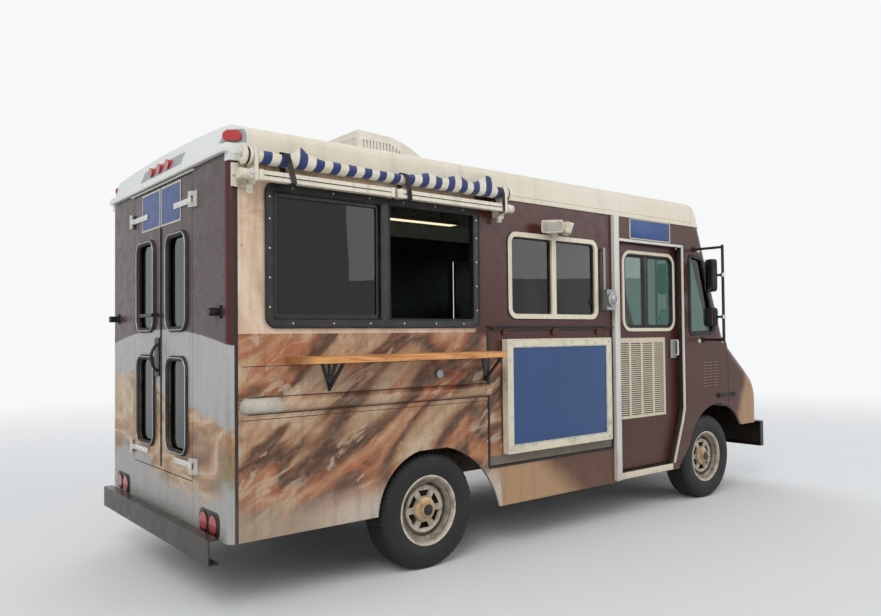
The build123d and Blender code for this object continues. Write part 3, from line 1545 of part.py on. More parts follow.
# Twin flood lamps between the awning and the small window, with a sensor below them
flood_x = rear_axle_x + 1085
flood_z = 2246
flood_base_radius = 46
flood_base_depth = 26
flood_lens = (150, 82)
flood_lens_corner = 16
flood_back = (62, 50)
flood_rim = 30
flood_taper = 58
sensor_radius = 25
flood = rod(
    (flood_x, -half_width, flood_z), (flood_x, -half_width - flood_base_depth, flood_z), flood_base_radius
)
flood_places = (  # pivot: out, across and up from the base; direction that the lamp looks in
    ((58, -26, 16), (-0.70, -0.66, -0.26)),
    ((58, 26, 16), (0.72, -0.62, -0.30)),
)
for (out, over, up), look in flood_places:
    pivot = Vector(flood_x + over, -half_width - out, flood_z + up)
    axis = Vector(*look).normalized()
    back = pivot + axis * 12
    lens_plane = Plane(origin=back + axis * flood_taper, x_dir=Vector(-axis.Y, axis.X, 0), z_dir=axis)
    back_plane = Plane(origin=back, x_dir=Vector(-axis.Y, axis.X, 0), z_dir=axis)
    wide = lens_plane * RectangleRounded(*flood_lens, flood_lens_corner)
    narrow = back_plane * RectangleRounded(*flood_back, flood_lens_corner)
    flood += loft([narrow, wide]) + extrude(wide, amount=flood_rim, dir=axis)
    flood += rod((flood_x + over / 2, -half_width - 12, flood_z), back + axis * 14, 12)
sensor_top = (flood_x + 8, -half_width - 34, flood_z - 22)
sensor_low = (flood_x + 8, -half_width - 54, flood_z - 72)
flood += rod((flood_x, -half_width - 10, flood_z - 20), sensor_top, 14)
flood += rod(sensor_top, sensor_low, sensor_radius)
save("flood_lamps", flood)

# Coloured lamps: tail, roof edge, corner and side markers
lamp_proud = 12
cap_outside = cap_solid(0)
marker_lamps = []
tail_lamp_ys = (700, 832.5)
tail_lamp_z = 472
tail_lamp_radius = 50
for y in tail_lamp_ys:
    for side in (-1, 1):
        base = (body_rear, side * y, tail_lamp_z)
        marker_lamps.append(rod(base, (body_rear - lamp_proud, side * y, tail_lamp_z), tail_lamp_radius))
cap_back_slope = cap_rear_lean / (cap_crown_z + 10 - cap_lip_z - 20)
roof_lamp_z = 2545
roof_lamp_x = cap_lip_x + (roof_lamp_z - cap_lip_z - 20) * cap_back_slope
for y in (-150, 0, 150):
    lamp = rod((roof_lamp_x + 20, y, roof_lamp_z), (roof_lamp_x - 24, y, roof_lamp_z), 30) - cap_outside
    marker_lamps.append(lamp)
corner_lamp_z = 2550
corner_lamp_size = (104, 54)
corner_lamp_radius = 26
corner_lamp_proud = 20
corner_along = cap_corner_chamfer / 2 + 9
corner_x = cap_lip_x + corner_along
corner_y = half_width + cap_proud - cap_corner_chamfer + corner_along
for side in (-1, 1):
    face = Plane(origin=(corner_x, side * corner_y, corner_lamp_z), x_dir=(1, side, 0), z_dir=(-1, side, 0))
    lens = face * RectangleRounded(*corner_lamp_size, corner_lamp_radius)
    lamp = extrude(lens, amount=corner_lamp_proud, dir=(-1, side, 0))
    lamp += extrude(lens, amount=corner_lamp_proud, dir=(1, -side, 0))
    marker_lamps.append((lamp - cap_outside).solids().sort_by(SortBy.VOLUME)[-1])
for x, z in ((front_axle_x - 170, 2202), (front_axle_x - 172, 1404), (front_axle_x + 202, 1400)):
    for side in (-1, 1):
        marker_lamps.append(rod((x, side * half_width, z), (x, side * (half_width + lamp_proud), z), 17))
front_lamp_z = 2500
front_lamp_x = screen_top_x - 38
for y in (-600, -150, 0, 150, 600):
    lamp = rod((front_lamp_x - 112, y, front_lamp_z), (front_lamp_x, y, front_lamp_z), 26) - cap_outside
    marker_lamps.append(lamp.solids().sort_by(Axis.X)[-1])
save("marker_lamps", *marker_lamps)

# Mirrors on tube arms
mirror_out = 263
mirror_reach = half_width + mirror_out
arm_radius = 12
foot_radius = 26
foot_thickness = 10
tube_x = front_axle_x - 207
arm_feet = ((front_axle_x - 228, 2210), (front_axle_x - 105, 1415))
mirror_side = rod((tube_x, mirror_reach, 1398), (tube_x, mirror_reach, 2229), arm_radius)
for foot_x, z in arm_feet:
    arm_end = (foot_x, half_width + foot_thickness / 2, z)
    mirror_side += rod((tube_x, mirror_reach, z), arm_end, arm_radius - 1)
    mirror_side += rod((foot_x, half_width, z), (foot_x, half_width + foot_thickness, z), foot_radius)
head_corner = 38
mirror_heads = (  # inward of the tube, z, half width, half height, depth, turn towards the driver
    (108, 1971, 75, 140, 42, 32),
    (116, 1612, 62, 83, 46, 15),
)
for inward, z, half_y, half_z, deep, turn in mirror_heads:
    y = mirror_reach - inward
    head = prism_x(RectangleRounded(2 * half_y, 2 * half_z, head_corner), -deep / 2, deep / 2)
    mirror_side += Pos(tube_x - 9, y, z) * Rot(0, 0, turn) * head
    mirror_side += rod((tube_x, mirror_reach, z), (tube_x - 9, y, z), arm_radius - 2)
save("mirrors", mirror_side, across(mirror_side))

# Power inlet box with its conduit, and the round inlet in the rear quarter
inlet_box = (post_back - 147, post_back - 42)
conduit_x = post_back - 125
box_depth = 70
box_zs = (1660, 1816)
inlet = block(*inlet_box, -half_width - box_depth, -half_width, *box_zs)
cover_x = (inlet_box[0] + inlet_box[1]) / 2
cover_z = (box_zs[0] + box_zs[1]) / 2
inlet += rod(
    (cover_x, -half_width - box_depth - 14, cover_z), (cover_x, -half_width - box_depth, cover_z), 52
)
conduit_radius = 12
conduit_y = -half_width - 26
conduit_top = 2140
bend_z = conduit_top - conduit_radius
inlet += rod((conduit_x, conduit_y, box_zs[1] - 1), (conduit_x, conduit_y, conduit_top), conduit_radius)
inlet += rod((conduit_x, conduit_y, bend_z), (conduit_x, -half_width, bend_z), conduit_radius)
shore_x = rear_axle_x + 46
shore_z = 1232
shore_inlet = rod((shore_x, -half_width, shore_z), (shore_x, -half_width - 14, shore_z), 26)
save("power_inlets", inlet, shore_inlet)
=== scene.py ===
import math

import bmesh
import bpy
from mathutils import Matrix, Vector, noise


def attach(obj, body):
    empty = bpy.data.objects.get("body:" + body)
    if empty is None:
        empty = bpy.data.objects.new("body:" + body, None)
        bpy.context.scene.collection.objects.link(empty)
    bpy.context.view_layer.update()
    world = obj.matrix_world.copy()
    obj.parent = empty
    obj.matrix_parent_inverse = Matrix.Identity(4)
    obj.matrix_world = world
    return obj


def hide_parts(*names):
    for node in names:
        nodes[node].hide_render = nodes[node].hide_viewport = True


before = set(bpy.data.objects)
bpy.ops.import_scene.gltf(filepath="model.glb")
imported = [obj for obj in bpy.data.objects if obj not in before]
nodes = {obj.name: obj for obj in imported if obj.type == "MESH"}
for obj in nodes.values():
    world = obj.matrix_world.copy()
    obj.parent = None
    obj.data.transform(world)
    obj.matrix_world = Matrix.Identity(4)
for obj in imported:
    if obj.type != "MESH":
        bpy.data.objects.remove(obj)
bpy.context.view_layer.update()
scene = bpy.context.scene

# Places in the truck's frame that the trim is set from, in metres
FRONT_AXLE = 1.8025
REAR_AXLE = -1.3725
BODY_REAR = -2.7295
SIDE = 1.025
POST_BACK = 0.4275
DOOR_BACK = 0.4875
DOOR_FRONT = 1.3775
LEAF_FACE = 0.965
WHEEL_Z = 0.366
WHEEL_PLANE = 0.875
SKIRT_TOP = 0.602
RAIL_FRONT = -0.905
TAIL_LAMP_Z = 0.472
LATCH_Z = 0.907
CAB_WINDOW = (0.6605, 1.3165, 1.527, 2.124)
CAB_MIDDLE = (1.9, 0.0, 0.9)

RIGHT = (0, -1, 0)
BACK = (-1, 0, 0)
SIDES = ((-1, "right"), (1, "left"))

# Colours of three numbers are as they show on a screen, 0 to 255
DUST = (150, 132, 112)
# Grime for streaks, brake dust and the board, and painted shade under the rub rail
GRIME_AND_SHADE = (50, 40, 33)
RUST = (104, 62, 38)
TAN = (172, 136, 102)
BLUE = (32, 66, 126)
# Painted shade: the colour laid on faces that look into the body, where little light reaches
INSIDE_SHADE = (44, 42, 42)
PALE_LIGHT = (0.93, 0.94, 0.95, 1)


def tone(colour):
    """A screen colour turned into a shader's, and anything else as it is."""
    if isinstance(colour, tuple) and len(colour) == 3:
        return tuple((c / 255) ** 2.2 for c in colour) + (1.0,)
    return colour


def set_camera():
    yaw, pitch, roll = (math.radians(a) for a in (39.038, 1.379, -0.574))
    ahead = Vector((math.sin(yaw) * math.cos(pitch), math.cos(yaw) * math.cos(pitch), math.sin(pitch)))
    right = Vector((math.cos(yaw), -math.sin(yaw), 0))
    up = right.cross(ahead)
    across = right * math.cos(roll) + up * math.sin(roll)
    above = -right * math.sin(roll) + up * math.cos(roll)
    data = bpy.data.cameras.new("camera")
    data.lens = 30.817
    data.sensor_width = 36
    data.shift_x = -0.0002
    data.shift_y = 0.01
    data.clip_end = 200
    camera = bpy.data.objects.new("camera", data)
    turn = Matrix((across, above, -ahead)).transposed().to_4x4()
    camera.matrix_world = Matrix.Translation((-4.345, -4.773, 1.48)) @ turn
    scene.collection.objects.link(camera)
    scene.camera = camera


set_camera()


class Value:
    """One output of a node, so that a shader's sums can be written out."""

    def __init__(self, graph, socket):
        self.graph, self.socket = graph, socket

    def math(self, operation, other=0.0):
        return self.graph.node("Math", {0: self, 1: other}, operation=operation)

    def __add__(self, other):
        return self.math("ADD", other)

    def __sub__(self, other):
        return self.math("SUBTRACT", other)

    def __mul__(self, other):
        return self.math("MULTIPLY", other)

    def __pow__(self, other):
        return self.math("POWER", other)

    def __abs__(self):
        return self.math("ABSOLUTE")

    def rise(self, low, high):
        """0 below low to 1 above high, and the other way where low is above high."""
        ends = {0: self, 1: low, 2: high, 3: 0.0, 4: 1.0}
        return self.graph.node("MapRange", ends, interpolation_type="SMOOTHSTEP")

    def inside(self, low, high, soft=0.001):
        return self.rise(low - soft, low + soft) * self.rise(high + soft, high - soft)

    def spread(self, low, high, first=0.0, last=1.0):
        """A grey from first, where this is low, to last, where it is high."""
        return self.graph.ramp(self, [(low, (first, first, first, 1)), (high, (last, last, last, 1))])


class Graph:
    """A node tree, built node by node."""

    def __init__(self, tree):
        self.tree = tree

    def feed(self, entry, value):
        if isinstance(value, Value):
            value = value.socket
        if isinstance(value, bpy.types.NodeSocket):
            self.tree.links.new(value, entry)
        else:
            entry.default_value = value

    def node(self, kind, values=None, out=0, **props):
        made = self.tree.nodes.new("ShaderNode" + kind)
        for key, value in props.items():
            setattr(made, key, value)
        for key, value in (values or {}).items():
            self.feed(made.inputs[key], value)
        return Value(self, made.outputs[out]) if made.outputs else None

    def split(self, vector):
        parts = self.node("SeparateXYZ", {0: vector}).socket.node.outputs
        return [Value(self, part) for part in parts]

    def mix(self, t, a, b):
        return self.node("Mix", {0: t, 6: tone(a), 7: tone(b)}, out=2, data_type="RGBA")

    def ramp(self, value, stops):
        made = self.node("ValToRGB", {0: value})
        elements = made.socket.node.color_ramp.elements
        while len(elements) < len(stops):
            elements.new(0.5)
        for element, (at, colour) in zip(elements, stops):
            element.position = at
            element.color = tone(colour)
        return made

    def seen_directly(self):
        """1 where a ray comes from the camera, a reflection or glass, 0 where it only carries light."""
        seen = self.node("LightPath", out="Is Camera Ray")
        path = seen.socket.node
        for name in ("Is Glossy Ray", "Is Transmission Ray"):
            seen = self.node("Math", {0: seen, 1: path.outputs[name]}, operation="ADD", use_clamp=True)
        return seen


class Shade(Graph):
    """One procedural material. x, y and z are the place on the object."""

    def __init__(self, name):
        self.mat = bpy.data.materials.new(name)
        self.mat.use_nodes = True
        super().__init__(self.mat.node_tree)
        self.bsdf = self.tree.nodes["Principled BSDF"]
        self.place = self.node("TexCoord", out="Object")
        self.x, self.y, self.z = self.split(self.place)

    def noise(self, scale, detail=2.0, rough=0.5, where=None, distortion=0.0):
        values = {"Vector": where or self.place, "Scale": scale, "Detail": detail, "Roughness": rough}
        values["Distortion"] = distortion
        return self.node("TexNoise", values)

    def stretched(self, size):
        return self.node("Mapping", {"Vector": self.place, "Scale": size})

    def cloud(self, a, b, scale, detail=3.0):
        """Two tones in soft patches."""
        return self.mix(self.noise(scale, detail), a, b)

    def bump(self, *layers):
        """Layers of (height, strength, distance), coarse first."""
        normal = None
        for height, strength, distance in layers:
            values = {"Height": height, "Strength": strength, "Distance": distance}
            if normal is not None:
                values["Normal"] = normal
            normal = self.node("Bump", values)
        self.feed(self.bsdf.inputs["Normal"], normal)

    def out(self, colour, rough, **more):
        for name, value in dict(Base_Color=colour, Roughness=rough, **more).items():
            self.feed(self.bsdf.inputs[name.replace("_", " ")], value)
        return self.mat


def weathered(s, colour, dust, wave, chips):
    """Old sheet paint: cloudy tone, streaks, road dust low down, rusty chips, and a wavy skin."""
    colour = s.mix(s.noise(2.2, 4.0, 0.6).spread(0.3, 0.7) * 0.04, colour, DUST)
    streak = s.noise(3.0, 3.0, 0.55, s.stretched((9, 9, 0.8))).spread(0.52, 0.72)
    colour = s.mix(streak * 0.22, colour, GRIME_AND_SHADE)
    low = s.z.rise(1.0, 0.3) * s.noise(7.0, 4.0, 0.6).spread(0.3, 0.7, 0.3)
    colour = s.mix(low * dust, colour, DUST)
    speck = s.noise(46.0, 3.0, 0.6).spread(0.66, 0.7)
    worn = s.noise(5.0).spread(0.5, 0.62)
    colour = s.mix(speck * worn * chips, colour, RUST)
    s.bump((s.noise(1.7), wave, 0.012), (s.noise(260.0), 0.12, 0.0006))
    rough = s.noise(14.0, 4.0, 0.6).spread(0.3, 0.7, 0.22, 0.40)
    return s.out(colour, rough, Specular_IOR_Level=0.3)


def swirl(s):
    """A printed marble of cream, orange, brown and dark bands that climb forward. It is no picture."""
    climb = math.radians(33.0)
    along = s.x * math.cos(climb) + s.z * math.sin(climb)
    over = s.z * math.cos(climb) - s.x * math.sin(climb)
    flat = s.node("CombineXYZ", {0: along * 0.62, 1: over * 1.75, 2: 0.0})
    bands = s.ramp(
        s.noise(1.55, 3.0, 0.48, flat, 0.7),
        [
            (0.26, (226, 200, 168)), (0.36, (214, 170, 130)), (0.42, (184, 116, 76)), (0.455, (112, 70, 50)),
            (0.485, (64, 44, 36)), (0.51, (74, 52, 42)), (0.54, (140, 98, 70)), (0.58, (198, 160, 124)),
            (0.65, (226, 202, 172)), (0.75, (206, 144, 104)),
        ],
    )
    blot = s.noise(1.3, 2.0, 0.5, flat, 0.4).rise(0.46, 0.56)
    blot = blot * s.noise(4.6, 3.0, 0.55, flat, 0.6).rise(0.55, 0.62)
    bands = s.mix(blot * 0.7, bands, (194, 98, 62))
    pale = s.noise(4.0, 4.0, 0.6, flat, 1.2).rise(0.43, 0.37)
    bands = s.mix(pale * 0.6, bands, (230, 206, 178))
    crumb = s.ramp(
        s.noise(16.0, 5.0, 0.62, flat, 0.5),
        [(0.35, (86, 56, 42)), (0.5, (168, 124, 92)), (0.65, (232, 210, 180))],
    )
    # The whole print is pulled towards dark brown: painted shade over the print
    return s.mix(0.28, s.mix(0.2, bands, crumb), (74, 50, 38))


def side_paint(name, hatch=False):
    """The serving side: cream behind the window, the marbled print below it, brown ahead, tan skirt."""
    s = Shade(name)
    ripple = (s.noise(5.0, 3.0, 0.6) - 0.5) * 0.10
    height = s.z + ripple
    foot_colour = s.mix(s.x.rise(-2.4, -1.9), (170, 150, 130), (196, 186, 172))
    print_colour = s.mix(height.rise(0.64, 0.46) * 0.8, swirl(s), foot_colour)
    bronze = s.ramp(
        s.noise(2.6, 4.0, 0.6, None, 1.2),
        [(0.3, (188, 152, 124)), (0.5, (214, 186, 160)), (0.7, (228, 208, 188))],
    )
    brown = s.cloud((68, 36, 33), (80, 43, 39), 1.1, 2.0)
    on_skirt = s.z.rise(SKIRT_TOP + 0.002, SKIRT_TOP - 0.002)
    edge = s.x - s.z.rise(1.36, 1.28) * 0.13
    ahead = (edge + ripple * 0.5).rise(-0.925, -0.905)
    # Painted shade: the tan skirt turns dark brown towards its top and front
    skirt = s.mix((s.x * 0.8 + height).rise(0.14, 0.44), TAN, (92, 60, 48))
    rear_part = s.mix(s.z.rise(1.494, 1.498), print_colour, bronze)
    colour = s.mix(ahead, rear_part, s.mix(on_skirt, brown, skirt))
    if hatch:
        ledge = s.cloud((120, 112, 98), (84, 78, 68), 9.0, 4.0)
        colour = s.mix(s.z.rise(0.664, 0.658), colour, ledge)
    colour = s.mix(s.x.rise(-1.03, -0.99) * s.z.rise(1.44, 1.5), colour, brown)
    colour = s.mix(s.y.rise(-0.5, 0.5), colour, s.mix(on_skirt, brown, TAN))
    # Painted shade on the walls' inner faces
    colour = s.mix(abs(s.y).rise(1.016, 1.008), colour, INSIDE_SHADE)
    return weathered(s, colour, 0.14, 0.55, 0.8)


def rail_paint():
    """The rub rail: print on its run, worn silver cream at its rear end."""
    s = Shade("rail_wrap")
    end = (s.x + s.noise(9.0, 3.0) * 0.1).rise(-2.34, -2.42)
    colour = s.mix(end, swirl(s), s.cloud((158, 150, 138), (208, 200, 186), 6.0, 4.0))
    colour = s.mix(s.y.rise(-0.5, 0.5), colour, (74, 42, 38))
    # Painted shade on the rail's underside, laid in the grime colour
    colour = s.mix(s.z.rise(1.086, 1.07) * 0.45, colour, GRIME_AND_SHADE)
    return weathered(s, colour, 0.1, 0.4, 0.9)


def rear_paint():
    """The rear: brown over silver with a toasted marble, blue head plates, galvanised hinge straps."""
    s = Shade("rear_wrap")
    far_y = abs(s.y)
    # The rear's brown is a greyer copy of the side's maroon: weathering, with a painted sky reflection and
    # painted shade
    brown = s.mix(far_y.rise(0.984, 0.99), s.cloud((62, 46, 46), (76, 58, 58), 1.3), (72, 34, 32))
    silver = s.cloud((146, 145, 143), (176, 174, 170), 1.6, 2.0)
    arc = far_y ** 2.0 * -0.09 + 1.53
    field = s.mix((s.z - arc).rise(-0.004, 0.004), silver, brown)
    toast = s.ramp(
        s.noise(1.5, 4.0, 0.55, s.stretched((1, 0.7, 1.9)), 0.9),
        [
            (0.3, (88, 64, 48)), (0.4, (134, 98, 72)), (0.47, (176, 138, 102)), (0.53, (204, 178, 144)),
            (0.60, (166, 124, 88)), (0.66, (122, 118, 88)), (0.72, (190, 166, 136)),
        ],
    )
    toast = s.mix(s.noise(22.0, 4.0, 0.6).spread(0.4, 0.7, 0.0, 0.35), toast, (96, 70, 52))
    top = (s.y * 2.3 + 0.4).math("SINE") * 0.10 + 1.12
    low = (s.y * 3.1).math("SINE") * 0.06 + 0.66
    height = s.z + (s.noise(3.2, 4.0, 0.55) - 0.5) * 0.34
    field = s.mix((height - top).rise(0.03, -0.03) * (height - low).rise(-0.06, 0.06), field, toast)
    plate = s.x.rise(BODY_REAR - 0.0012, BODY_REAR - 0.0022) * s.z.rise(2.168, 2.17)
    plate = plate * far_y.rise(0.353, 0.352)
    face = s.mix(far_y.inside(0.018, 0.342) * s.z.inside(2.184, 2.409), (204, 196, 176), BLUE)
    colour = s.mix(plate, field, face)
    colour = s.mix(s.x.rise(BODY_REAR - 0.0054, BODY_REAR - 0.0062), colour, (212, 210, 204))
    # Painted shade on the inner faces of the rear wall and doors
    colour = s.mix(s.x.rise(BODY_REAR + 0.030, BODY_REAR + 0.035), colour, INSIDE_SHADE)
    return weathered(s, colour, 0.25, 0.45, 0.5)


def plain_paint(name, colour, second, dust, chips, wave):
    s = Shade(name)
    return weathered(s, s.cloud(colour, second, 1.4), dust, wave, chips)


def cab_paint():
    """Cab sides and nose: brown, tan at the nose's front edge from wear and a painted sun highlight, painted
    shade on faces that look inward.
    """
    s = Shade("cab_brown")
    brown = s.cloud((66, 38, 34), (82, 48, 42), 1.2)
    # Tan at the nose's front edge: worn paint, and a painted sun highlight
    worn = (s.x + s.z * -0.42 + s.noise(4.0, 3.0) * 0.16).rise(1.98, 2.12)
    colour = s.mix(worn * s.z.rise(1.2, 1.08), brown, (164, 127, 95))
    # Painted shade on the cab sides' inner faces behind the door
    colour = s.mix(abs(s.y).rise(1.016, 1.008) * s.x.rise(1.42, 1.40), colour, INSIDE_SHADE)
    # Painted shade on every face that looks in towards the cab's middle
    normal = s.node("TexCoord", out="Normal")
    outward = s.node("VectorMath", {0: s.place, 1: CAB_MIDDLE}, operation="SUBTRACT")
    facing = s.node("VectorMath", {0: normal, 1: outward}, "Value", operation="DOT_PRODUCT")
    colour = s.mix(facing.rise(-0.15, -0.3), colour, INSIDE_SHADE)
    return weathered(s, colour, 0.12, 0.35, 0.7)


def door_paint():
    """Cab door leaf: brown, with the louvred panel in cream."""
    s = Shade("cab_door_brown")
    far_y = abs(s.y)
    panel = s.x.inside(POST_BACK + 0.1225, POST_BACK + 0.7775) * s.z.inside(0.784, 1.442)
    panel = panel * s.y.rise(-LEAF_FACE + 0.001, -LEAF_FACE - 0.001)
    # Painted shade: the louvre slots darker where they sink towards the leaf's face
    slot = s.y.rise(-LEAF_FACE - 0.003, -LEAF_FACE - 0.0022)
    cream = s.mix(slot, (206, 194, 170), (112, 100, 86))
    colour = s.mix(panel, s.cloud((68, 37, 34), (78, 43, 38), 1.2), cream)
    # Painted shade on the walls of the panel's recess
    deep = s.y.rise(-LEAF_FACE + 0.0025, -LEAF_FACE + 0.0045) * s.z.inside(0.786, 1.44)
    deep = deep * s.x.inside(POST_BACK + 0.124, POST_BACK + 0.776)
    colour = s.mix(deep * s.y.rise(-0.9, -0.95), colour, (64, 54, 46))
    grip = s.mix(far_y.rise(LEAF_FACE + 0.018, LEAF_FACE + 0.022), (150, 150, 146), (206, 204, 196))
    colour = s.mix(far_y.rise(LEAF_FACE + 0.0048, LEAF_FACE + 0.0058), colour, grip)
    colour = s.mix(s.x.inside(0.650, 1.327) * s.z.inside(1.516, 2.135), colour, (26, 26, 28))
    # Painted shade on the leaf's inner faces
    colour = s.mix(far_y.rise(LEAF_FACE - 0.010, LEAF_FACE - 0.014), colour, INSIDE_SHADE)
    return weathered(s, colour, 0.1, 0.3, 0.5)


def metal(name, colour, rough, scratch=0.25):
    """Bare or galvanised metal with brushed scratches and dull patches."""
    s = Shade(name)
    dull = tuple(c * 0.55 for c in tone(colour)[:3]) + (1.0,)
    tinted = s.mix(s.noise(24.0, 4.0, 0.6).spread(0.35, 0.65) * 0.4, colour, dull)
    s.bump((s.noise(60.0, 2.0, 0.5, s.stretched((1, 1, 18))), scratch, 0.0008))
    return s.out(tinted, s.noise(30.0, 3.0).spread(0.3, 0.7, rough - 0.08, rough + 0.15), Metallic=1.0)


def plastic(name, colour, rough, grain, dust):
    """Moulded plastic or rubber with a fine grain and dust in its hollows."""
    s = Shade(name)
    tinted = s.mix(s.noise(9.0, 4.0, 0.6).spread(0.45, 0.75) * dust, colour, DUST)
    s.bump((s.noise(420.0), grain, 0.0006))
    return s.out(tinted, s.noise(20.0, 3.0).spread(0.3, 0.7, rough - 0.08, rough + 0.14))


def glass_shade():
    """Dark privacy glass behind the cab, green tint in the cab."""
    s = Shade("window_glass")
    smear = s.noise(6.0, 3.0) * 0.05
    dark = s.mix(smear, (40, 44, 50), (110, 110, 110))
    green = s.mix(smear, (136, 160, 153), (196, 206, 200))
    s.bump((s.noise(2.6), 0.15, 0.002))
    return s.out(s.mix(s.x.rise(0.45, 0.6), dark, green), 0.0, Transmission_Weight=1.0, IOR=1.45)


def smooth_shade(name, first, second, scale, ripples, depth, rough, **more):
    """Mirror glass or a clear lens: two near tones and a faint ripple."""
    s = Shade(name)
    s.bump((s.noise(ripples), depth, 0.002))
    return s.out(s.cloud(first, second, scale, 2.0), rough, **more)


def lamp_shade():
    """Red lenses at the rear, bleached ones along the cab, with moulded ribs."""
    s = Shade("lamp_lens")
    s.bump((((s.y + s.z) * 900.0).math("SINE"), 0.35, 0.001))
    return s.out(s.mix(s.x.rise(0.0, 0.5), (172, 30, 32), (222, 196, 184)), 0.12, Coat_Weight=0.6)


def rim_shade(name, centre_x):
    """Painted wheel: pale rim edge, cream disc, golden hub ring, black cap, brake dust."""
    s = Shade(name)
    dx, dz = s.x - centre_x, s.z - WHEEL_Z
    colour = s.ramp(
        (dx * dx + dz * dz).math("SQRT") * 4.0,
        [
            (0.13, (16, 16, 17)), (0.142, (26, 26, 27)), (0.15, (190, 160, 116)), (0.3, (196, 168, 128)),
            (0.34, (176, 164, 144)), (0.56, (186, 176, 158)), (0.6, (150, 138, 120)), (0.68, (116, 104, 92)),
            (0.78, (150, 138, 122)), (0.83, (176, 164, 146)), (0.872, (222, 212, 194)),
        ],
    )
    grime = s.noise(22.0, 4.0, 0.6).spread(0.4, 0.68)
    colour = s.mix(grime * 0.55, colour, GRIME_AND_SHADE)
    colour = s.mix(s.noise(60.0, 3.0, 0.6).spread(0.62, 0.7) * 0.5, colour, RUST)
    s.bump((s.noise(150.0, 3.0), 0.25, 0.0008))
    return s.out(colour, grime.spread(0.0, 1.0, 0.3, 0.6))


def rubber_shade():
    s = Shade("tyre_rubber")
    patch = s.noise(7.0, 4.0, 0.6).spread(0.4, 0.7)
    s.bump((s.noise(300.0), 0.35, 0.0006))
    return s.out(s.mix(patch * 0.45, (24, 24, 24), (52, 47, 43)), patch.spread(0.0, 1.0, 0.62, 0.85))


def wood_shade():
    """Varnished board: grain along its length, darker towards its rear end, wear on the edge."""
    s = Shade("shelf_wood")
    rings = s.noise(2.2, 5.0, 0.6, s.stretched((1.6, 26, 30)), 0.8)
    colour = s.ramp(rings, [(0.3, (146, 88, 44)), (0.48, (204, 138, 78)), (0.7, (228, 168, 106))])
    colour = s.mix(s.x.rise(-2.3, -2.39) * 0.55, colour, (84, 52, 32))
    colour = s.mix(s.noise(18.0, 4.0).spread(0.55, 0.72) * 0.4, colour, (90, 62, 44))
    s.bump((rings, 0.35, 0.002))
    return s.out(colour, rings.spread(0.3, 0.7, 0.3, 0.5))


def awning_shade():
    """Woven blue and white stripes that follow the cloth."""
    s = Shade("awning_stripes")
    u, v = s.split(s.node("TexCoord", out="UV"))[:2]
    stripe = ((u + v * 0.22) * (1 / 0.105)).math("FRACT").inside(0.25, 0.75, 0.012)
    white = s.cloud((198, 188, 168), (230, 222, 204), 14.0, 4.0)
    blue = s.cloud((22, 38, 84), (34, 56, 112), 20.0, 4.0)
    weave = (u * 2600.0).math("SINE") * (v * 2600.0).math("SINE")
    s.bump((s.noise(30.0, 3.0), 0.3, 0.002), (weave, 0.25, 0.0006))
    return s.out(s.mix(stripe, white, blue), 0.85, Sheen_Weight=0.3)


def board_shade():
    """The framed board: cream frame, blank blue face behind clear plastic."""
    s = Shade("menu_board_face")
    face = s.x.inside(-0.7125, 0.2915) * s.z.inside(0.72, 1.393)
    blue = s.cloud((30, 62, 108), (40, 75, 122), 1.8)
    cream = s.cloud((206, 196, 172), (222, 212, 190), 5.0)
    cream = s.mix(s.noise(12.0, 4.0).spread(0.5, 0.75) * 0.4, cream, GRIME_AND_SHADE)
    s.bump((s.noise(200.0), 0.12, 0.0005))
    return s.out(s.mix(face, cream, blue), s.mix(face, (0.45, 0.45, 0.45, 1), (0.16, 0.16, 0.16, 1)))


def cap_shade():
    """Cream roof cap: chalky top, streaks over the edge, grey lamp recesses at the back."""
    s = Shade("roof_cap_cream")
    far_y = abs(s.y)
    cream = s.cloud((214, 202, 180), (230, 222, 206), 1.2)
    streak = s.noise(2.6, 4.0, 0.6, s.stretched((5, 5, 0.6))).spread(0.5, 0.72)
    cream = s.mix(streak * 0.2, cream, (160, 146, 124))
    back = s.x.rise(-2.6, -2.66)
    cream = s.mix(back * 0.7, cream, (216, 222, 222))
    middle = far_y.rise(0.372, 0.368) * s.z.inside(2.505, 2.585, 0.002) * back
    corner = far_y.rise(0.914, 0.918) * s.z.inside(2.512, 2.586, 0.002)
    corner = corner * (s.x - far_y).rise(-3.66, -3.664)
    cream = s.mix(middle.math("MAXIMUM", corner), cream, (146, 150, 152))
    s.bump((s.noise(2.0), 0.3, 0.008), (s.noise(240.0), 0.12, 0.0006))
    return s.out(cream, s.noise(11.0, 3.0).spread(0.3, 0.7, 0.34, 0.55))


def glow_shade():
    """Strip lamp: lit along the middle of its lower face, grey housing and stems."""
    s = Shade("lamp_glow")
    lit = s.z.rise(2.462, 2.458) * s.y.inside(0.30, 0.40, 0.004)
    tube = s.cloud((255, 232, 188), (255, 242, 208), 12.0, 2.0)
    glow = s.mix(lit, (0, 0, 0, 1), tube)
    return s.out(s.mix(lit, (120, 118, 112), tube), 0.4, Emission_Color=glow, Emission_Strength=1.1)


def hinge_shade():
    """Hinge plates: pale at the rear doors, black at their holders, dark brown over the hatch."""
    s = Shade("hinge_paint")
    pale = s.cloud((176, 174, 168), (210, 208, 202), 18.0)
    colour = s.mix(abs(s.y).rise(0.845, 0.855), pale, (30, 30, 32))
    colour = s.mix(s.x.rise(-1.2, -1.1), colour, (46, 32, 28))
    return weathered(s, colour, 0.1, 0.3, 0.6)


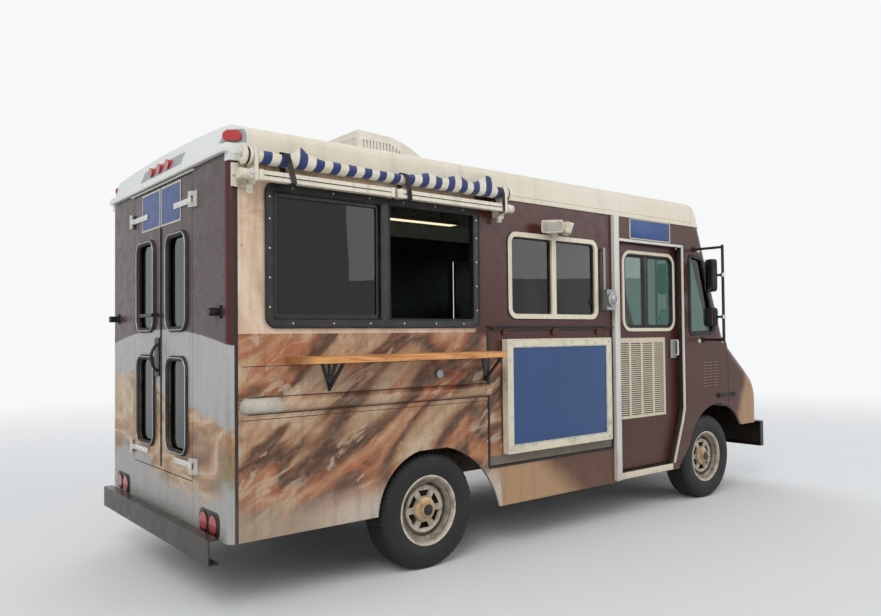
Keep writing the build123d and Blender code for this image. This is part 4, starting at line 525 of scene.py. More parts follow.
SIDE_WRAP = side_paint("side_wrap")
REAR_WRAP = rear_paint()
CAP_CREAM = cap_shade()
TRIM_CREAM = plain_paint("trim_cream", (214, 202, 176), (228, 218, 196), 0.25, 0.7, 0.1)
POST_WHITE = plain_paint("post_white", (200, 198, 192), (220, 216, 206), 0.3, 0.6, 0.1)
AWNING_CREAM = plain_paint("awning_metal", (214, 204, 182), (228, 220, 202), 0.1, 0.6, 0.1)
BUMPER_BLACK = plain_paint("bumper_black", (18, 18, 20), (28, 28, 30), 0.1, 0.5, 0.1)
UNDER_BLACK = plain_paint("underbody", (24, 22, 21), (40, 35, 31), 0.25, 0.8, 0.1)
LOUVRE = plain_paint("louvre_lip", (112, 82, 74), (146, 116, 104), 0.1, 0.3, 0.3)
BLUE_PLATE = plain_paint("blue_plate", (30, 64, 122), (40, 78, 138), 0.0, 0.2, 0.05)
FRAME_BLACK = plastic("frame_black", (24, 24, 26), 0.4, 0.2, 0.06)
RUBBER = plastic("black_rubber", (18, 18, 19), 0.6, 0.35, 0.08)
# Painted shadow lines along the rub rail's edges and under the sheet laps
SHADOW_LINE = plastic("painted_shadow_line", (52, 38, 30), 0.7, 0.3, 0.3)
STRAP = plastic("strap_webbing", (24, 25, 32), 0.8, 0.6, 0.2)
SEAT = plastic("seat_vinyl", (48, 48, 52), 0.55, 0.5, 0.2)
GALVANISED = metal("galvanised", (190, 190, 188), 0.42)
BRIGHT = metal("bright_metal", (214, 212, 206), 0.25, 0.1)
ALUMINIUM = metal("meter_grey", (150, 152, 154), 0.45)
SILVERED = smooth_shade("mirror_silver", (150, 156, 160), (176, 180, 182), 8.0, 3.0, 0.05, 0.04, Metallic=1.0)
CLEAR = smooth_shade("lamp_clear", (226, 230, 232), (244, 246, 248), 20.0, 90.0, 0.4, 0.06,
                     Transmission_Weight=0.85, IOR=1.45)
TYRE = rubber_shade()
STRIPES = awning_shade()

FINISH = (
    (SIDE_WRAP, "side_wall_right side_wall_left"),
    (side_paint("hatch_wrap", True), "side_hatch"),
    (rail_paint(), "rub_rails"),
    (REAR_WRAP, "rear_wall rear_door_left rear_door_right"),
    (hinge_shade(), "hinges"),
    (cab_paint(), "cab_side_left cab_side_right windscreen_frame hood"),
    (door_paint(), "cab_door_left cab_door_right"),
    (CAP_CREAM, "roof_cap"),
    (glass_shade(), "body_glass rear_door_glass_left rear_door_glass_right "
                    "cab_door_glass_left cab_door_glass_right"),
    (FRAME_BLACK, "service_window_frame shelf_brackets dashboard rear_door_handles grille"),
    (TRIM_CREAM, "side_window_frame"),
    (POST_WHITE, "door_posts"),
    (wood_shade(), "shelf"),
    (AWNING_CREAM, "awning_frame flood_lamps"),
    (plastic("conditioner_white", (224, 218, 204), 0.5, 0.15, 0.3), "roof_air_conditioner"),
    (lamp_shade(), "marker_lamps"),
    (RUBBER, "mirrors"),
    (ALUMINIUM, "power_inlets"),
    (UNDER_BLACK, "door_tracks chassis_frame floor engine exhaust fuel_tank front_axle rear_axle"),
    (UNDER_BLACK, "knuckle_left knuckle_right"),
    (SEAT, "driver_seat"),
    (metal("kitchen_steel", (150, 150, 152), 0.3), "kitchen_units"),
    (glow_shade(), "ceiling_lamp"),
    (BUMPER_BLACK, "front_bumper rear_bumper"),
    (CLEAR, "headlamps"),
    (board_shade(), "menu_board"),
    (rim_shade("rim_paint_front", FRONT_AXLE), "rim_front_left rim_front_right"),
    (rim_shade("rim_paint_rear", REAR_AXLE), "rim_rear_left rim_rear_right"),
)
for finish, names in FINISH:
    for name in names.split():
        nodes[name].data.materials.clear()
        nodes[name].data.materials.append(finish)


def show(mesh, finish, body, angle=None):
    """Puts a mesh in the scene on a body, smooth except over edges sharper than the angle."""
    for face in mesh.polygons:
        face.use_smooth = True
    if angle:
        mesh.set_sharp_from_angle(angle=math.radians(angle))
    mesh.materials.append(finish)
    made = bpy.data.objects.new(mesh.name, mesh)
    scene.collection.objects.link(made)
    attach(made, body)
    return made


def circle(radius, sides):
    angles = [2 * math.pi * i / sides for i in range(sides)]
    return [(radius * math.cos(a), radius * math.sin(a)) for a in angles]


class Piece:
    """Collects shapes into one mesh that rides on a body. done() comes for all of them at the end."""

    waiting = []

    def __init__(self, name, finish, body="body", angle=38.0):
        self.name, self.finish, self.body, self.angle = name, finish, body, angle
        self.bm = bmesh.new()
        self.waiting.append(self)

    def ring(self, points):
        return [self.bm.verts.new(p) for p in points]

    def skin(self, rings, closed=False, caps=True):
        """Faces from ring to ring, where a ring may be a single point."""
        for a, b in zip(rings, rings[1:] + rings[:1] if closed else rings[1:]):
            sides = max(len(a), len(b))
            for i in range(sides):
                j = (i + 1) % sides
                corners = [a[i % len(a)], a[j % len(a)], b[j % len(b)], b[i % len(b)]]
                loop = [v for n, v in enumerate(corners) if v not in corners[:n]]
                if len(loop) > 2:
                    self.bm.faces.new(loop)
        if caps and not closed:
            self.bm.faces.new(rings[0])
            self.bm.faces.new(list(reversed(rings[-1])))

    def slab(self, outline, out, thickness, crown=0.0):
        """A plate from an outline of points, its face eased, and crowned where it is a lens."""
        out = Vector(out).normalized()
        outline = [Vector(p) for p in outline]
        centre = sum(outline, Vector()) / len(outline)
        rings = []
        steps = ((1.0, -0.0005), (1.0, thickness * 0.6), (0.98, thickness), (0.7, thickness + crown))
        for shrink, lift in steps:
            rings.append(self.ring(centre + (p - centre) * shrink + out * lift for p in outline))
        self.skin(rings)

    def box(self, corner, opposite, bevel):
        corner, opposite = Vector(corner), Vector(opposite)
        size = [abs(length) for length in opposite - corner]
        matrix = Matrix.Translation((corner + opposite) / 2) @ Matrix.Diagonal((*size, 1))
        made = bmesh.ops.create_cube(self.bm, size=1.0, matrix=matrix)["verts"]
        if bevel:
            edges = list({e for v in made for e in v.link_edges})
            bmesh.ops.bevel(self.bm, geom=edges, offset=bevel, segments=2, profile=0.6, affect="EDGES")

    def lathe(self, start, axis, profile, sides=20):
        """(radius, height) points turned about an axis through start."""
        turn = Vector(axis).normalized().to_track_quat("Z", "Y").to_matrix()
        start = Vector(start)
        rings = []
        for radius, height in profile:
            points = circle(radius, sides if radius > 1e-6 else 1)
            rings.append(self.ring(start + turn @ Vector((u, v, height)) for u, v in points))
        self.skin(rings, caps=False)

    def rivet(self, at, axis, radius=0.005, height=0.0025):
        self.lathe(at, axis, [(radius, -0.0005), (radius * 0.86, height * 0.6), (0.0, height)], 8)

    def bolt(self, at, axis, radius, height):
        self.lathe(at, axis, [(radius * 1.5, -0.0005), (radius * 1.5, 0.0015), (0.0, 0.0016)], 16)
        head = [(radius, 0.0), (radius, height - 0.0015), (radius * 0.8, height), (0.0, height)]
        self.lathe(at, axis, head, 6)

    def sweep(self, path, normal, section, closed=True):
        """A section of (across, out) points carried along a flat path."""
        normal = Vector(normal).normalized()
        path = [Vector(p) for p in path]
        count = len(path)
        rings = []
        for i, point in enumerate(path):
            before = path[i - 1] if closed or i else point
            after = path[(i + 1) % count] if closed or i < count - 1 else point
            back = (point - before).normalized()
            ahead = (after - point).normalized()
            side = (back + ahead).normalized().cross(normal).normalized()
            bend = 1.0
            if ahead.length and back.length:
                bend = max(0.4, side.dot(ahead.cross(normal).normalized()))
            rings.append(self.ring(point + side * (s / bend) + normal * n for s, n in section))
        self.skin(rings, closed)

    def strip(self, start, end, normal, section):
        self.sweep([start, end], normal, section, closed=False)

    def tube(self, path, radius, sides, steps):
        """A round bar along a smooth line through points."""
        points = smooth_line(path, steps)
        last = Vector((0, 0, 1))
        rings = []
        for i, point in enumerate(points):
            along = (points[min(i + 1, len(points) - 1)] - points[max(i - 1, 0)]).normalized()
            if abs(along.dot(last)) > 0.95:
                last = Vector((0, 1, 0)) if abs(along.y) < 0.9 else Vector((1, 0, 0))
            side = along.cross(last).normalized()
            last = side.cross(along).normalized()
            rings.append(self.ring(point + side * u + last * v for u, v in circle(radius, sides)))
        self.skin(rings)

    def done(self):
        mesh = bpy.data.meshes.new(self.name)
        bmesh.ops.recalc_face_normals(self.bm, faces=self.bm.faces)
        self.bm.to_mesh(mesh)
        self.bm.free()
        show(mesh, self.finish, self.body, self.angle)


def smooth_line(path, steps):
    """Points along a smooth curve through the given ones."""
    path = [Vector(p) for p in path]
    points = []
    for i in range(len(path) - 1):
        p0, p1, p2, p3 = path[max(i - 1, 0)], path[i], path[i + 1], path[min(i + 2, len(path) - 1)]
        for n in range(steps):
            t = n / steps
            a = 2 * p1 + (p2 - p0) * t
            b = (2 * p0 - 5 * p1 + 4 * p2 - p3) * t * t
            c = (3 * p1 - p0 - 3 * p2 + p3) * t * t * t
            points.append((a + b + c) / 2)
    return points + [path[-1]]


def rounded(u0, u1, v0, v1, radius, steps=7):
    """A rounded rectangle as (u, v) points."""
    corners = ((u1 - radius, v1 - radius, 0), (u0 + radius, v1 - radius, 90),
               (u0 + radius, v0 + radius, 180), (u1 - radius, v0 + radius, 270))
    points = []
    for u, v, start in corners:
        for n in range(steps + 1):
            a = math.radians(start + 90 * n / steps)
            points.append((u + radius * math.cos(a), v + radius * math.sin(a)))
    return points


def centred(half_u, half_v, radius, steps=7):
    return rounded(-half_u, half_u, -half_v, half_v, radius, steps)


def side_ring(y, *shape):
    """A rounded rectangle that stands along the truck."""
    return [(u, y, v) for u, v in rounded(*shape)]


def rear_ring(x, *shape):
    """A rounded rectangle that stands across the truck."""
    return [(x, u, v) for u, v in rounded(*shape)]


def filleted(corners, radius):
    """A closed outline with round corners."""
    points, steps = [], 6
    count = len(corners)
    for i in range(count):
        before, at, after = (Vector(corners[(i + n) % count]) for n in (-1, 0, 1))
        a = (before - at).normalized()
        b = (after - at).normalized()
        reach = radius / math.tan(math.acos(max(-1, min(1, a.dot(b)))) / 2)
        p, q = at + a * reach, at + b * reach
        for n in range(steps + 1):
            t = n / steps
            points.append(tuple(p.lerp(at, t).lerp(at.lerp(q, t), t)))
    return points


def band(width, depth, sink=0.001):
    """A flat trim's section with eased edges, centred on its path."""
    w = width / 2
    e = min(0.003, depth * 0.6, w * 0.6)
    return [(-w, -sink), (-w, depth - e), (-w + e, depth), (w - e, depth), (w, depth - e), (w, -sink)]


def bead(radius):
    """A half-round section, sunk a little."""
    arc = [math.pi * n / 6 for n in range(7)]
    points = [(radius * math.cos(a), radius * math.sin(a)) for a in arc]
    return [(radius, -0.001)] + points + [(-radius, -0.001)]


def row(start, stop, pitch):
    """Places one pitch apart, up to the end of a row."""
    while start < stop:
        yield start
        start += pitch


def roof_trim():
    """Rivets and beads of the roof cap."""
    rivets = Piece("roof_edge_rivets", TRIM_CREAM)
    lip = Piece("roof_edge_bead", CAP_CREAM)
    cap_back = BODY_REAR - 0.0215
    for side in (-1, 1):
        y, out = side * (SIDE + 0.008), (0, side, 0)
        for x in row(-2.62, 1.56, 0.098):
            rivets.rivet((x, y, 2.425), out, 0.0065, 0.0035)
        for z, front in ((2.447, 1.572), (2.4125, 1.585)):
            lip.strip((-2.70, y, z), (front, y, z), out, bead(0.0045))
    for y in row(-0.95, 0.96, 0.1):
        rivets.rivet((cap_back, y, 2.464), BACK, 0.0055, 0.003)
    lip.strip((cap_back, -0.98, 2.459), (cap_back, 0.98, 2.459), BACK, bead(0.005))


def side_rivets():
    """Rows of rivets and the laps of the body's sheets."""
    rivets = Piece("body_rivets", SIDE_WRAP)
    posts = Piece("post_rivets", POST_WHITE)
    rear = Piece("rear_rivets", REAR_WRAP)
    laps = Piece("body_laps", SIDE_WRAP)
    lines = Piece("rub_rail_lines", SHADOW_LINE)
    for side, end in SIDES:
        leaf = Piece(f"rear_door_rivets_{end}", REAR_WRAP, f"rear_door_{end}")
        y, out = side * SIDE, (0, side, 0)
        for z in row(0.47, 2.38, 0.115):
            rivets.rivet((-2.655, y, z), out)
        for x in row(-2.56, -0.95, 0.155):
            if side > 0 or x < -2.54:
                rivets.rivet((x, y, 1.516), out)
            rivets.rivet((x, y, 1.196), out)
            rivets.rivet((x, y, 1.02), out)
        for z in row(0.40, 2.38, 0.16):
            posts.rivet((POST_BACK + 0.0455, y + side * 0.03, z), out)
        for z in row(1.62, 2.35, 0.12):
            rear.rivet((BODY_REAR, side * 0.62, z), BACK)
        for z in row(0.72, 2.14, 0.12):
            for y_at in (0.04, 0.085):
                leaf.rivet((BODY_REAR, side * y_at, z), BACK, 0.0045, 0.0022)
            rear.rivet((BODY_REAR, side * 0.955, z), BACK)
        for z, front in ((1.33, RAIL_FRONT), (1.045, RAIL_FRONT), (1.497, -2.55)):
            laps.strip((-2.66, y, z), (front, y, z), out, band(0.014, 0.0022))
        laps.strip((-2.668, y, 0.41), (-2.668, y, 2.40), out, band(0.016, 0.0025))
        # Dark strips at the rail's edges and under the laps: painted shadow lines
        for z in (1.0645, 1.1555):
            lines.strip((-2.62, y, z), (-0.902, y, z), out, band(0.005, 0.002))
        for z in (1.3215, 1.0365):
            lines.strip((-2.655, y, z), (RAIL_FRONT, y, z), out, band(0.004, 0.0012))


def window_trim():
    """Screws and gaskets of the windows."""
    frame_y, pane_y = -SIDE - 0.0098, -SIDE + 0.0158
    gasket = Piece("serving_window_gasket", RUBBER)
    gasket.sweep(side_ring(frame_y, -2.5215, -0.9795, 1.53, 2.32, 0.058), RIGHT, bead(0.006))
    for x0, x1 in ((-2.4775, -1.7665), (-1.7115, -1.0235)):
        gasket.sweep(side_ring(frame_y, x0 + 0.004, x1 - 0.004, 1.578, 2.272, 0.02), RIGHT, bead(0.005))
    sash = Piece("serving_window_sash", FRAME_BLACK)
    sash.sweep(side_ring(pane_y, -2.463, -1.782, 1.592, 2.258, 0.02), RIGHT, band(0.026, 0.012, 0.0))
    screws = Piece("serving_window_screws", BRIGHT)
    spots = [(x, z) for z in (1.64, 1.80, 1.96, 2.12, 2.24) for x in (-2.4995, -1.0015)]
    spots += [(x, z) for x in (-2.36, -2.1, -1.85, -1.6, -1.35, -1.12) for z in (1.552, 2.298)]
    for x, z in spots:
        screws.rivet((x, frame_y, z), RIGHT, 0.0055, 0.003)
    lips = Piece("side_window_gasket", RUBBER)
    for x0, x1 in ((-0.6735, -0.2675), (-0.2225, 0.2155)):
        inner = side_ring(pane_y, x0 + 0.004, x1 - 0.004, 1.626, 2.158, 0.03)
        lips.sweep(inner, RIGHT, band(0.016, 0.010, 0.0))
    lips.sweep(side_ring(-SIDE, -0.7075, 0.2495, 1.588, 2.196, 0.075), RIGHT, bead(0.006))
    for side, end in SIDES:
        y, out = side * LEAF_FACE, (0, side, 0)
        ring = Piece(f"cab_door_window_ring_{end}", TRIM_CREAM, f"cab_door_{end}")
        x_back, x_front, z_low, z_high = CAB_WINDOW
        outer = side_ring(y, x_back - 0.02, x_front + 0.02, z_low - 0.02, z_high + 0.02, 0.088)
        ring.sweep(outer, out, band(0.028, 0.012))
        rubber = Piece(f"cab_door_window_rubber_{end}", RUBBER, f"cab_door_{end}")
        rubber.sweep(side_ring(y, *CAB_WINDOW, 0.07), out, band(0.016, 0.009, 0.0))
        pane_y = side * (LEAF_FACE - 0.0118)
        for x0, x1 in ((x_back, 0.926), (0.968, x_front)):
            pane = side_ring(pane_y, x0 + 0.01, x1 - 0.01, z_low + 0.01, z_high - 0.01, 0.03)
            rubber.sweep(pane, out, band(0.02, 0.009, 0.0))
        quarter = Piece(f"quarter_window_rubber_{end}", RUBBER)
        x_back, x_top, x_low = FRONT_AXLE - 0.305, FRONT_AXLE - 0.100, FRONT_AXLE + 0.090
        corners = [(x_back, 2.16), (x_top, 2.13), (x_low, 1.48), (x_back, 1.462)]
        path = [(u, side * SIDE, v) for u, v in filleted(corners, 0.045)]
        quarter.sweep(path, out, band(0.03, 0.008))


def rear_trim():
    """Gaskets of the rear windows, strap bolts, door edges and the drip rail."""
    for side, end in SIDES:
        body = f"rear_door_{end}"
        rubber = Piece(f"rear_window_rubber_{end}", RUBBER, body)
        shine = Piece(f"rear_window_bead_{end}", GALVANISED, body)
        y0, y1 = sorted((side * 0.12, side * 0.44))
        for z0, z1 in ((0.8, 1.355), (1.53, 2.1)):
            rubber.sweep(rear_ring(BODY_REAR, y0, y1, z0, z1, 0.07), BACK, bead(0.017))
            outer = rear_ring(BODY_REAR - 0.0165, y0 - 0.004, y1 + 0.004, z0 - 0.004, z1 + 0.004, 0.073)
            shine.sweep(outer, BACK, bead(0.003))
        bolts = Piece(f"rear_strap_bolts_{end}", BRIGHT, body)
        for z in (0.75, 2.27):
            for y in (0.262, 0.325, 0.39, 0.455):
                bolts.rivet((BODY_REAR - 0.0078, side * y, z), BACK, 0.009, 0.005)
        edge = Piece(f"rear_door_edge_{end}", RUBBER, body)
        y = side * 0.0095
        edge.strip((BODY_REAR, y, 0.68), (BODY_REAR, y, 2.168), BACK, band(0.005, 0.004))
    drip = Piece("rear_door_drip_rail", POST_WHITE)
    drip.strip((BODY_REAR, -0.56, 2.4395), (BODY_REAR, 0.56, 2.4395), BACK, band(0.008, 0.014))


def side_trim():
    """Hatch seal, blank plate over the cab door, door trims, sill, louvres, inner fenders and hood latch."""
    seal = Piece("hatch_seal", RUBBER)
    seal.sweep(side_ring(-SIDE, -0.8985, 0.4105, 0.587, 1.521, 0.012, 3), RIGHT, band(0.016, 0.007))
    seal.strip((-0.9, -SIDE - 0.006, 1.5305), (0.412, -SIDE - 0.006, 1.5305), RIGHT, band(0.011, 0.016))
    plate = Piece("blank_plate", BLUE_PLATE)
    plate.box((0.672, -SIDE - 0.004, 2.252), (1.209, -SIDE + 0.0005, 2.402), 0.0015)
    border = Piece("blank_plate_border", TRIM_CREAM)
    border.sweep(side_ring(-SIDE, 0.667, 1.214, 2.247, 2.4055, 0.01, 3), RIGHT, band(0.009, 0.0052))
    for side, end in SIDES:
        y, out = side * SIDE, (0, side, 0)
        trim = Piece(f"cab_door_trim_{end}", POST_WHITE)
        trim.strip((DOOR_BACK + 0.002, y, 2.224), (DOOR_FRONT + 0.010, y, 2.224), out, band(0.022, 0.012))
        path = [(DOOR_FRONT + 0.0105, y, 2.235), (DOOR_FRONT + 0.0105, y, 0.83)]
        path += [(DOOR_FRONT - 0.0215, y, 0.716), (DOOR_FRONT - 0.152, y, 0.38)]
        trim.sweep(path, out, band(0.02, 0.012), closed=False)
        sill = Piece(f"cab_door_sill_{end}", TRIM_CREAM)
        sill.box((DOOR_BACK + 0.002, y, 0.326), (DOOR_FRONT - 0.172, y + side * 0.006, 0.3765), 0.002)
        # A black block in the door's front jamb: a rubber seal, and painted shade of the gap
        slit = Piece(f"cab_door_seal_and_shade_{end}", RUBBER)
        slit.box((1.3905, side * 0.944, 0.84), (1.432, side * 0.985, 2.205), 0.006)
        lips = Piece(f"cab_louvre_lips_{end}", LOUVRE)
        first_x, pitch_x, first_z, pitch_z = 1.6885, 0.088, 0.988, 0.026
        for column in range(3):
            for step in range(9):
                x, z = first_x + pitch_x * column, first_z + pitch_z * step + 0.0125
                lips.strip((x - 0.002, y, z), (x + 0.072, y, z), out, bead(0.0045))
        fender = Piece(f"inner_fender_{end}", UNDER_BLACK, "hood")
        outline = [(2.112, 0.64), (2.112, 1.37), (2.30, 1.222), (2.47, 1.08), (2.47, 0.64)]
        fender.slab([(x, side * 0.528, z) for x, z in outline], out, 0.004)
        wall = [(0.530, 0.66), (0.530, 1.08), (0.975, 1.08), (0.975, 0.66)]
        fender.slab([(2.462, side * y_at, z) for y_at, z in wall], (1, 0, 0), 0.004)
        base = Piece(f"hood_latch_base_{end}", RUBBER)
        base.box((1.925, y, 0.892), (2.0965, y + side * 0.016, 0.922), 0.005)
        base.lathe((1.94, y, LATCH_Z), out, [(0.021, 0), (0.021, 0.016), (0.017, 0.022), (0, 0.022)], 18)
        strap = Piece(f"hood_latch_strap_{end}", RUBBER, "hood")
        strap.box((2.108, y, 0.896), (2.185, y + side * 0.013, 0.918), 0.004)
        strap.lathe((2.185, y, LATCH_Z), out, [(0.018, 0), (0.018, 0.014), (0.014, 0.02), (0, 0.02)], 18)


CLOTH_HEIGHTS = (  # X, height of the bundle
    (-2.6185, 0.066), (-2.55, 0.078), (-2.48, 0.070), (-2.41, 0.086), (-2.36, 0.128), (-2.30, 0.094),
    (-2.20, 0.076), (-1.91, 0.067), (-1.66, 0.064), (-1.56, 0.078), (-1.47, 0.100), (-1.36, 0.080),
    (-1.22, 0.120), (-1.10, 0.086), (-0.97, 0.150), (-0.89, 0.080), (-0.8465, 0.060),
)
CLOTH_BACK, CLOTH_FRONT = -2.6185, -0.8465
CLOTH_WIDTH = CLOTH_FRONT - CLOTH_BACK
CLOTH_LOW = 2.391
ROLL_Y = -SIDE - 0.078
ROLL_Z = 2.428
ARM_Z = 2.327


def cloth_height(x):
    for (x0, h0), (x1, h1) in zip(CLOTH_HEIGHTS, CLOTH_HEIGHTS[1:]):
        if x <= x1:
            t = (x - x0) / (x1 - x0)
            return h0 + (h1 - h0) * t * t * (3 - 2 * t)
    return CLOTH_HEIGHTS[-1][1]


def awning_cloth():
    """The cloth as a spiral round its roller, slack where the bundle is high."""
    turns, rows, columns, measured = 3.25, 150, 190, 85
    inner, pitch, outer_radius = 0.012, 0.0065, 0.033
    verts, faces = [], []
    for i in range(columns + 1):
        x = CLOTH_BACK + CLOTH_WIDTH * i / columns
        height = cloth_height(x)
        tall = (height - outer_radius) / outer_radius
        peak = max(0.0, height - 0.07) / 0.08
        sway = 0.008 * noise.noise(Vector((x * 4.0, 7.7, 0.0)))
        for j in range(rows + 1):
            t = turns * 2 * math.pi * j / rows
            r = inner + pitch * t / (2 * math.pi)
            angle = t + math.radians(200)
            cos, sin = math.cos(angle), math.sin(angle)
            fold = 1.0 + 0.10 * noise.noise(Vector((x * 6.5, cos * 1.1, sin * 1.1)))
            fold += 0.07 * noise.noise(Vector((x * 19.0, cos * 2.3, sin * 2.3)))
            up = sin * r * fold
            pinch = 1.0
            if up > 0:
                up *= tall
                pinch = 1.0 - 0.55 * peak * sin ** 2
            y = ROLL_Y + cos * r * fold * 1.18 * pinch + sway
            verts.append((x + 0.018 * peak * max(0.0, sin), y, CLOTH_LOW + outer_radius + up))
    step = rows + 1
    for i in range(columns):
        for j in range(rows):
            a = i * step + j
            faces.append((a, a + 1, a + step + 1, a + step))
    lengths = [0.0]
    for a in range(measured * step, measured * step + rows):
        lengths.append(lengths[-1] + (Vector(verts[a + 1]) - Vector(verts[a])).length)
    mesh = bpy.data.meshes.new("awning_cloth")
    mesh.from_pydata(verts, [], faces)
    layer = mesh.uv_layers.new(name="cloth")
    for loop in mesh.loops:
        column, j = divmod(loop.vertex_index, step)
        layer.data[loop.index].uv = (CLOTH_WIDTH * column / columns, lengths[j])
    cloth = show(mesh, STRIPES, "body")
    thick = cloth.modifiers.new("thickness", "SOLIDIFY")
    thick.thickness = 0.0012
    thick.offset = 0
    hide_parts("awning_roll")


def awning_straps():
    """Flat loops of webbing round the bundle."""
    straps = Piece("awning_straps", STRAP, angle=60)
    half, thickness = Vector((0.017, 0, 0)), 0.0022
    for x, lean in ((-2.46, 0.05), (-1.665, 0.03), (-0.868, 0.02)):
        top = CLOTH_LOW + cloth_height(x) + 0.006
        loop = [(-1.062, 2.372), (-1.058, 2.42), (-1.072, top - 0.012), (-1.103, top),
                (-1.136, top - 0.012), (-1.149, 2.42), (-1.152, 2.36), (-1.152, 2.302),
                (-1.13, 2.296), (-1.10, 2.297), (-1.075, 2.33)]
        points = [Vector((x + lean * (2.5 - z) / 0.2, y, z)) for y, z in loop]
        centre = sum(points, Vector()) / len(points)
        rings = []
        for p in points:
            out = Vector((0, p.y - centre.y, p.z - centre.z)).normalized() * thickness
            rings.append(straps.ring((p - half, p + half, p + half + out, p - half + out)))
        straps.skin(rings, closed=True)


def awning_frame():
    """The castings, bolts and grooves of the awning's frame."""
    cast = Piece("awning_castings", AWNING_CREAM)
    bolts = Piece("awning_bolts", GALVANISED)
    dark = Piece("awning_end_rings", RUBBER)
    grooves = Piece("awning_arm_grooves", UNDER_BLACK)
    end_cap = [(0.042, 0.020), (0.050, 0.023), (0.050, 0.036), (0.044, 0.040), (0.044, 0.050), (0.049, 0.053),
               (0.049, 0.064), (0.040, 0.070), (0.020, 0.072), (0.0, 0.072)]
    end_ring = [(0.0435, 0.0400), (0.0465, 0.0405), (0.0465, 0.0495), (0.0435, 0.050)]
    for x, side in ((-2.6195, -1), (-0.8455, 1)):
        out = (side, 0, 0)
        cast.lathe((x, ROLL_Y, ROLL_Z), out, end_cap, 32)
        dark.lathe((x, ROLL_Y, ROLL_Z), out, end_ring, 32)
        bolts.bolt((x + side * 0.072, ROLL_Y, ROLL_Z), out, 0.010, 0.007)
        pivot = [(0.020, 0), (0.027, 0.002), (0.027, 0.008), (0.020, 0.012), (0.0, 0.012)]
        cast.lathe((x + side * 0.082, -SIDE - 0.099, ARM_Z), out, pivot, 24)
        boss = [(0.024, 0), (0.024, 0.012), (0.019, 0.017), (0, 0.017)]
        cast.lathe((x + side * 0.036, -SIDE - 0.118, ARM_Z), RIGHT, boss, 20)
        bolts.bolt((x + side * 0.036, -SIDE - 0.135, ARM_Z), RIGHT, 0.010, 0.006)
        for y, z in ((-1.062, 2.30), (-1.050, 2.392), (-1.135, 2.378)):
            bolts.bolt((x + side * 0.018, y, z), out, 0.008, 0.006)
        for z in (2.288, 2.380):
            bolts.bolt((x + side * 0.058, -SIDE - 0.014, z), RIGHT, 0.009, 0.007)
        cast.box((x, -SIDE - 0.062, 2.236), (x + side * 0.03, -SIDE - 0.040, 2.285), 0.005)
        bolts.bolt((x + side * 0.015, -SIDE - 0.062, 2.252), RIGHT, 0.007, 0.005)
    middle = (-2.7145 - 0.7505) / 2
    for a, b in ((-2.615, middle - 0.018), (middle + 0.018, -0.85)):
        grooves.box((a + 0.01, -SIDE - 0.1225, 2.3235), (b - 0.01, -SIDE - 0.1215, 2.3295), 0)
        grooves.box((a + 0.01, -SIDE - 0.0345, 2.350), (b - 0.01, -SIDE - 0.0335, 2.355), 0)
        for end in (a + 0.02, b - 0.005):
            cast.box((end - 0.016, -SIDE - 0.127, 2.298), (end + 0.012, -SIDE - 0.072, 2.356), 0.006)
        for x in (a + 0.18, b - 0.18, (a + b) / 2):
            bolts.rivet((x, -SIDE - 0.122, 2.343), RIGHT, 0.0045, 0.002)


def tyre_profile():
    """(radius, place across, 1 where the tread is cut into blocks), once round a tyre's section."""
    tread = []
    for a in (66, 44, 40, 33, 29, 8, 4, -4, -8, -29, -33, -40, -44, -66):
        groove = 0.008 if abs(a) in (40, 33, 4) else 0.0
        tread.append((WHEEL_Z - groove, a / 1000, abs(a) > 42))
    outer = [(0.2043, 0.084, 0), (0.2225, 0.087, 0), (0.2235, 0.097, 0), (0.236, 0.1035, 0),
             (0.262, 0.107, 0), (0.268, 0.1088, 0), (0.292, 0.110, 0), (0.298, 0.1085, 0),
             (0.315, 0.1075, 0), (0.335, 0.104, 0), (0.345, 0.0995, 1), (0.354, 0.094, 1),
             (0.3635, 0.083, 1)]
    inner = [(0.350, 0.066), (0.344, 0.084), (0.318, 0.096), (0.262, 0.092), (0.228, 0.068), (0.2043, 0.066)]
    profile = outer + tread + [(r, -a, cut) for r, a, cut in reversed(outer)]
    return profile + [(r, -a, 0) for r, a in reversed(inner)] + [(r, a, 0) for r, a in inner]


def tyres():
    """Road tyres with grooved tread and ribbed shoulders, in place of the plain ones."""
    segments = 256
    profile = tyre_profile()
    count = len(profile)
    faces = []
    for i in range(segments):
        k = (i + 1) % segments
        for n in range(count):
            m = (n + 1) % count
            faces.append((i * count + n, i * count + m, k * count + m, k * count + n))
    for end, x, side in (("front_left", FRONT_AXLE, 1), ("front_right", FRONT_AXLE, -1),
                         ("rear_left", REAR_AXLE, 1), ("rear_right", REAR_AXLE, -1)):
        verts = []
        for i in range(segments):
            angle = 2 * math.pi * i / segments
            for r, a, cut in profile:
                shift = i if a > 0 else i + 2
                if cut and shift % 4 == 0:
                    r -= 0.006
                verts.append((x + r * math.sin(angle), side * WHEEL_PLANE + a, WHEEL_Z + r * math.cos(angle)))
        mesh = bpy.data.meshes.new(f"road_tyre_{end}")
        mesh.from_pydata(verts, [], faces)
        made = show(mesh, TYRE, f"wheel_{end}", 32)
        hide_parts(f"tyre_{end}")
        valve = Piece(f"wheel_details_{end}", RUBBER, f"wheel_{end}")
        out = Vector((0, side, 0))
        spot = Vector((x + 0.05, side * (WHEEL_PLANE + 0.03), WHEEL_Z + 0.152))
        valve.tube([spot, spot + out * 0.02, spot + out * 0.045 + Vector((0, 0, 0.004))], 0.004, 8, 3)


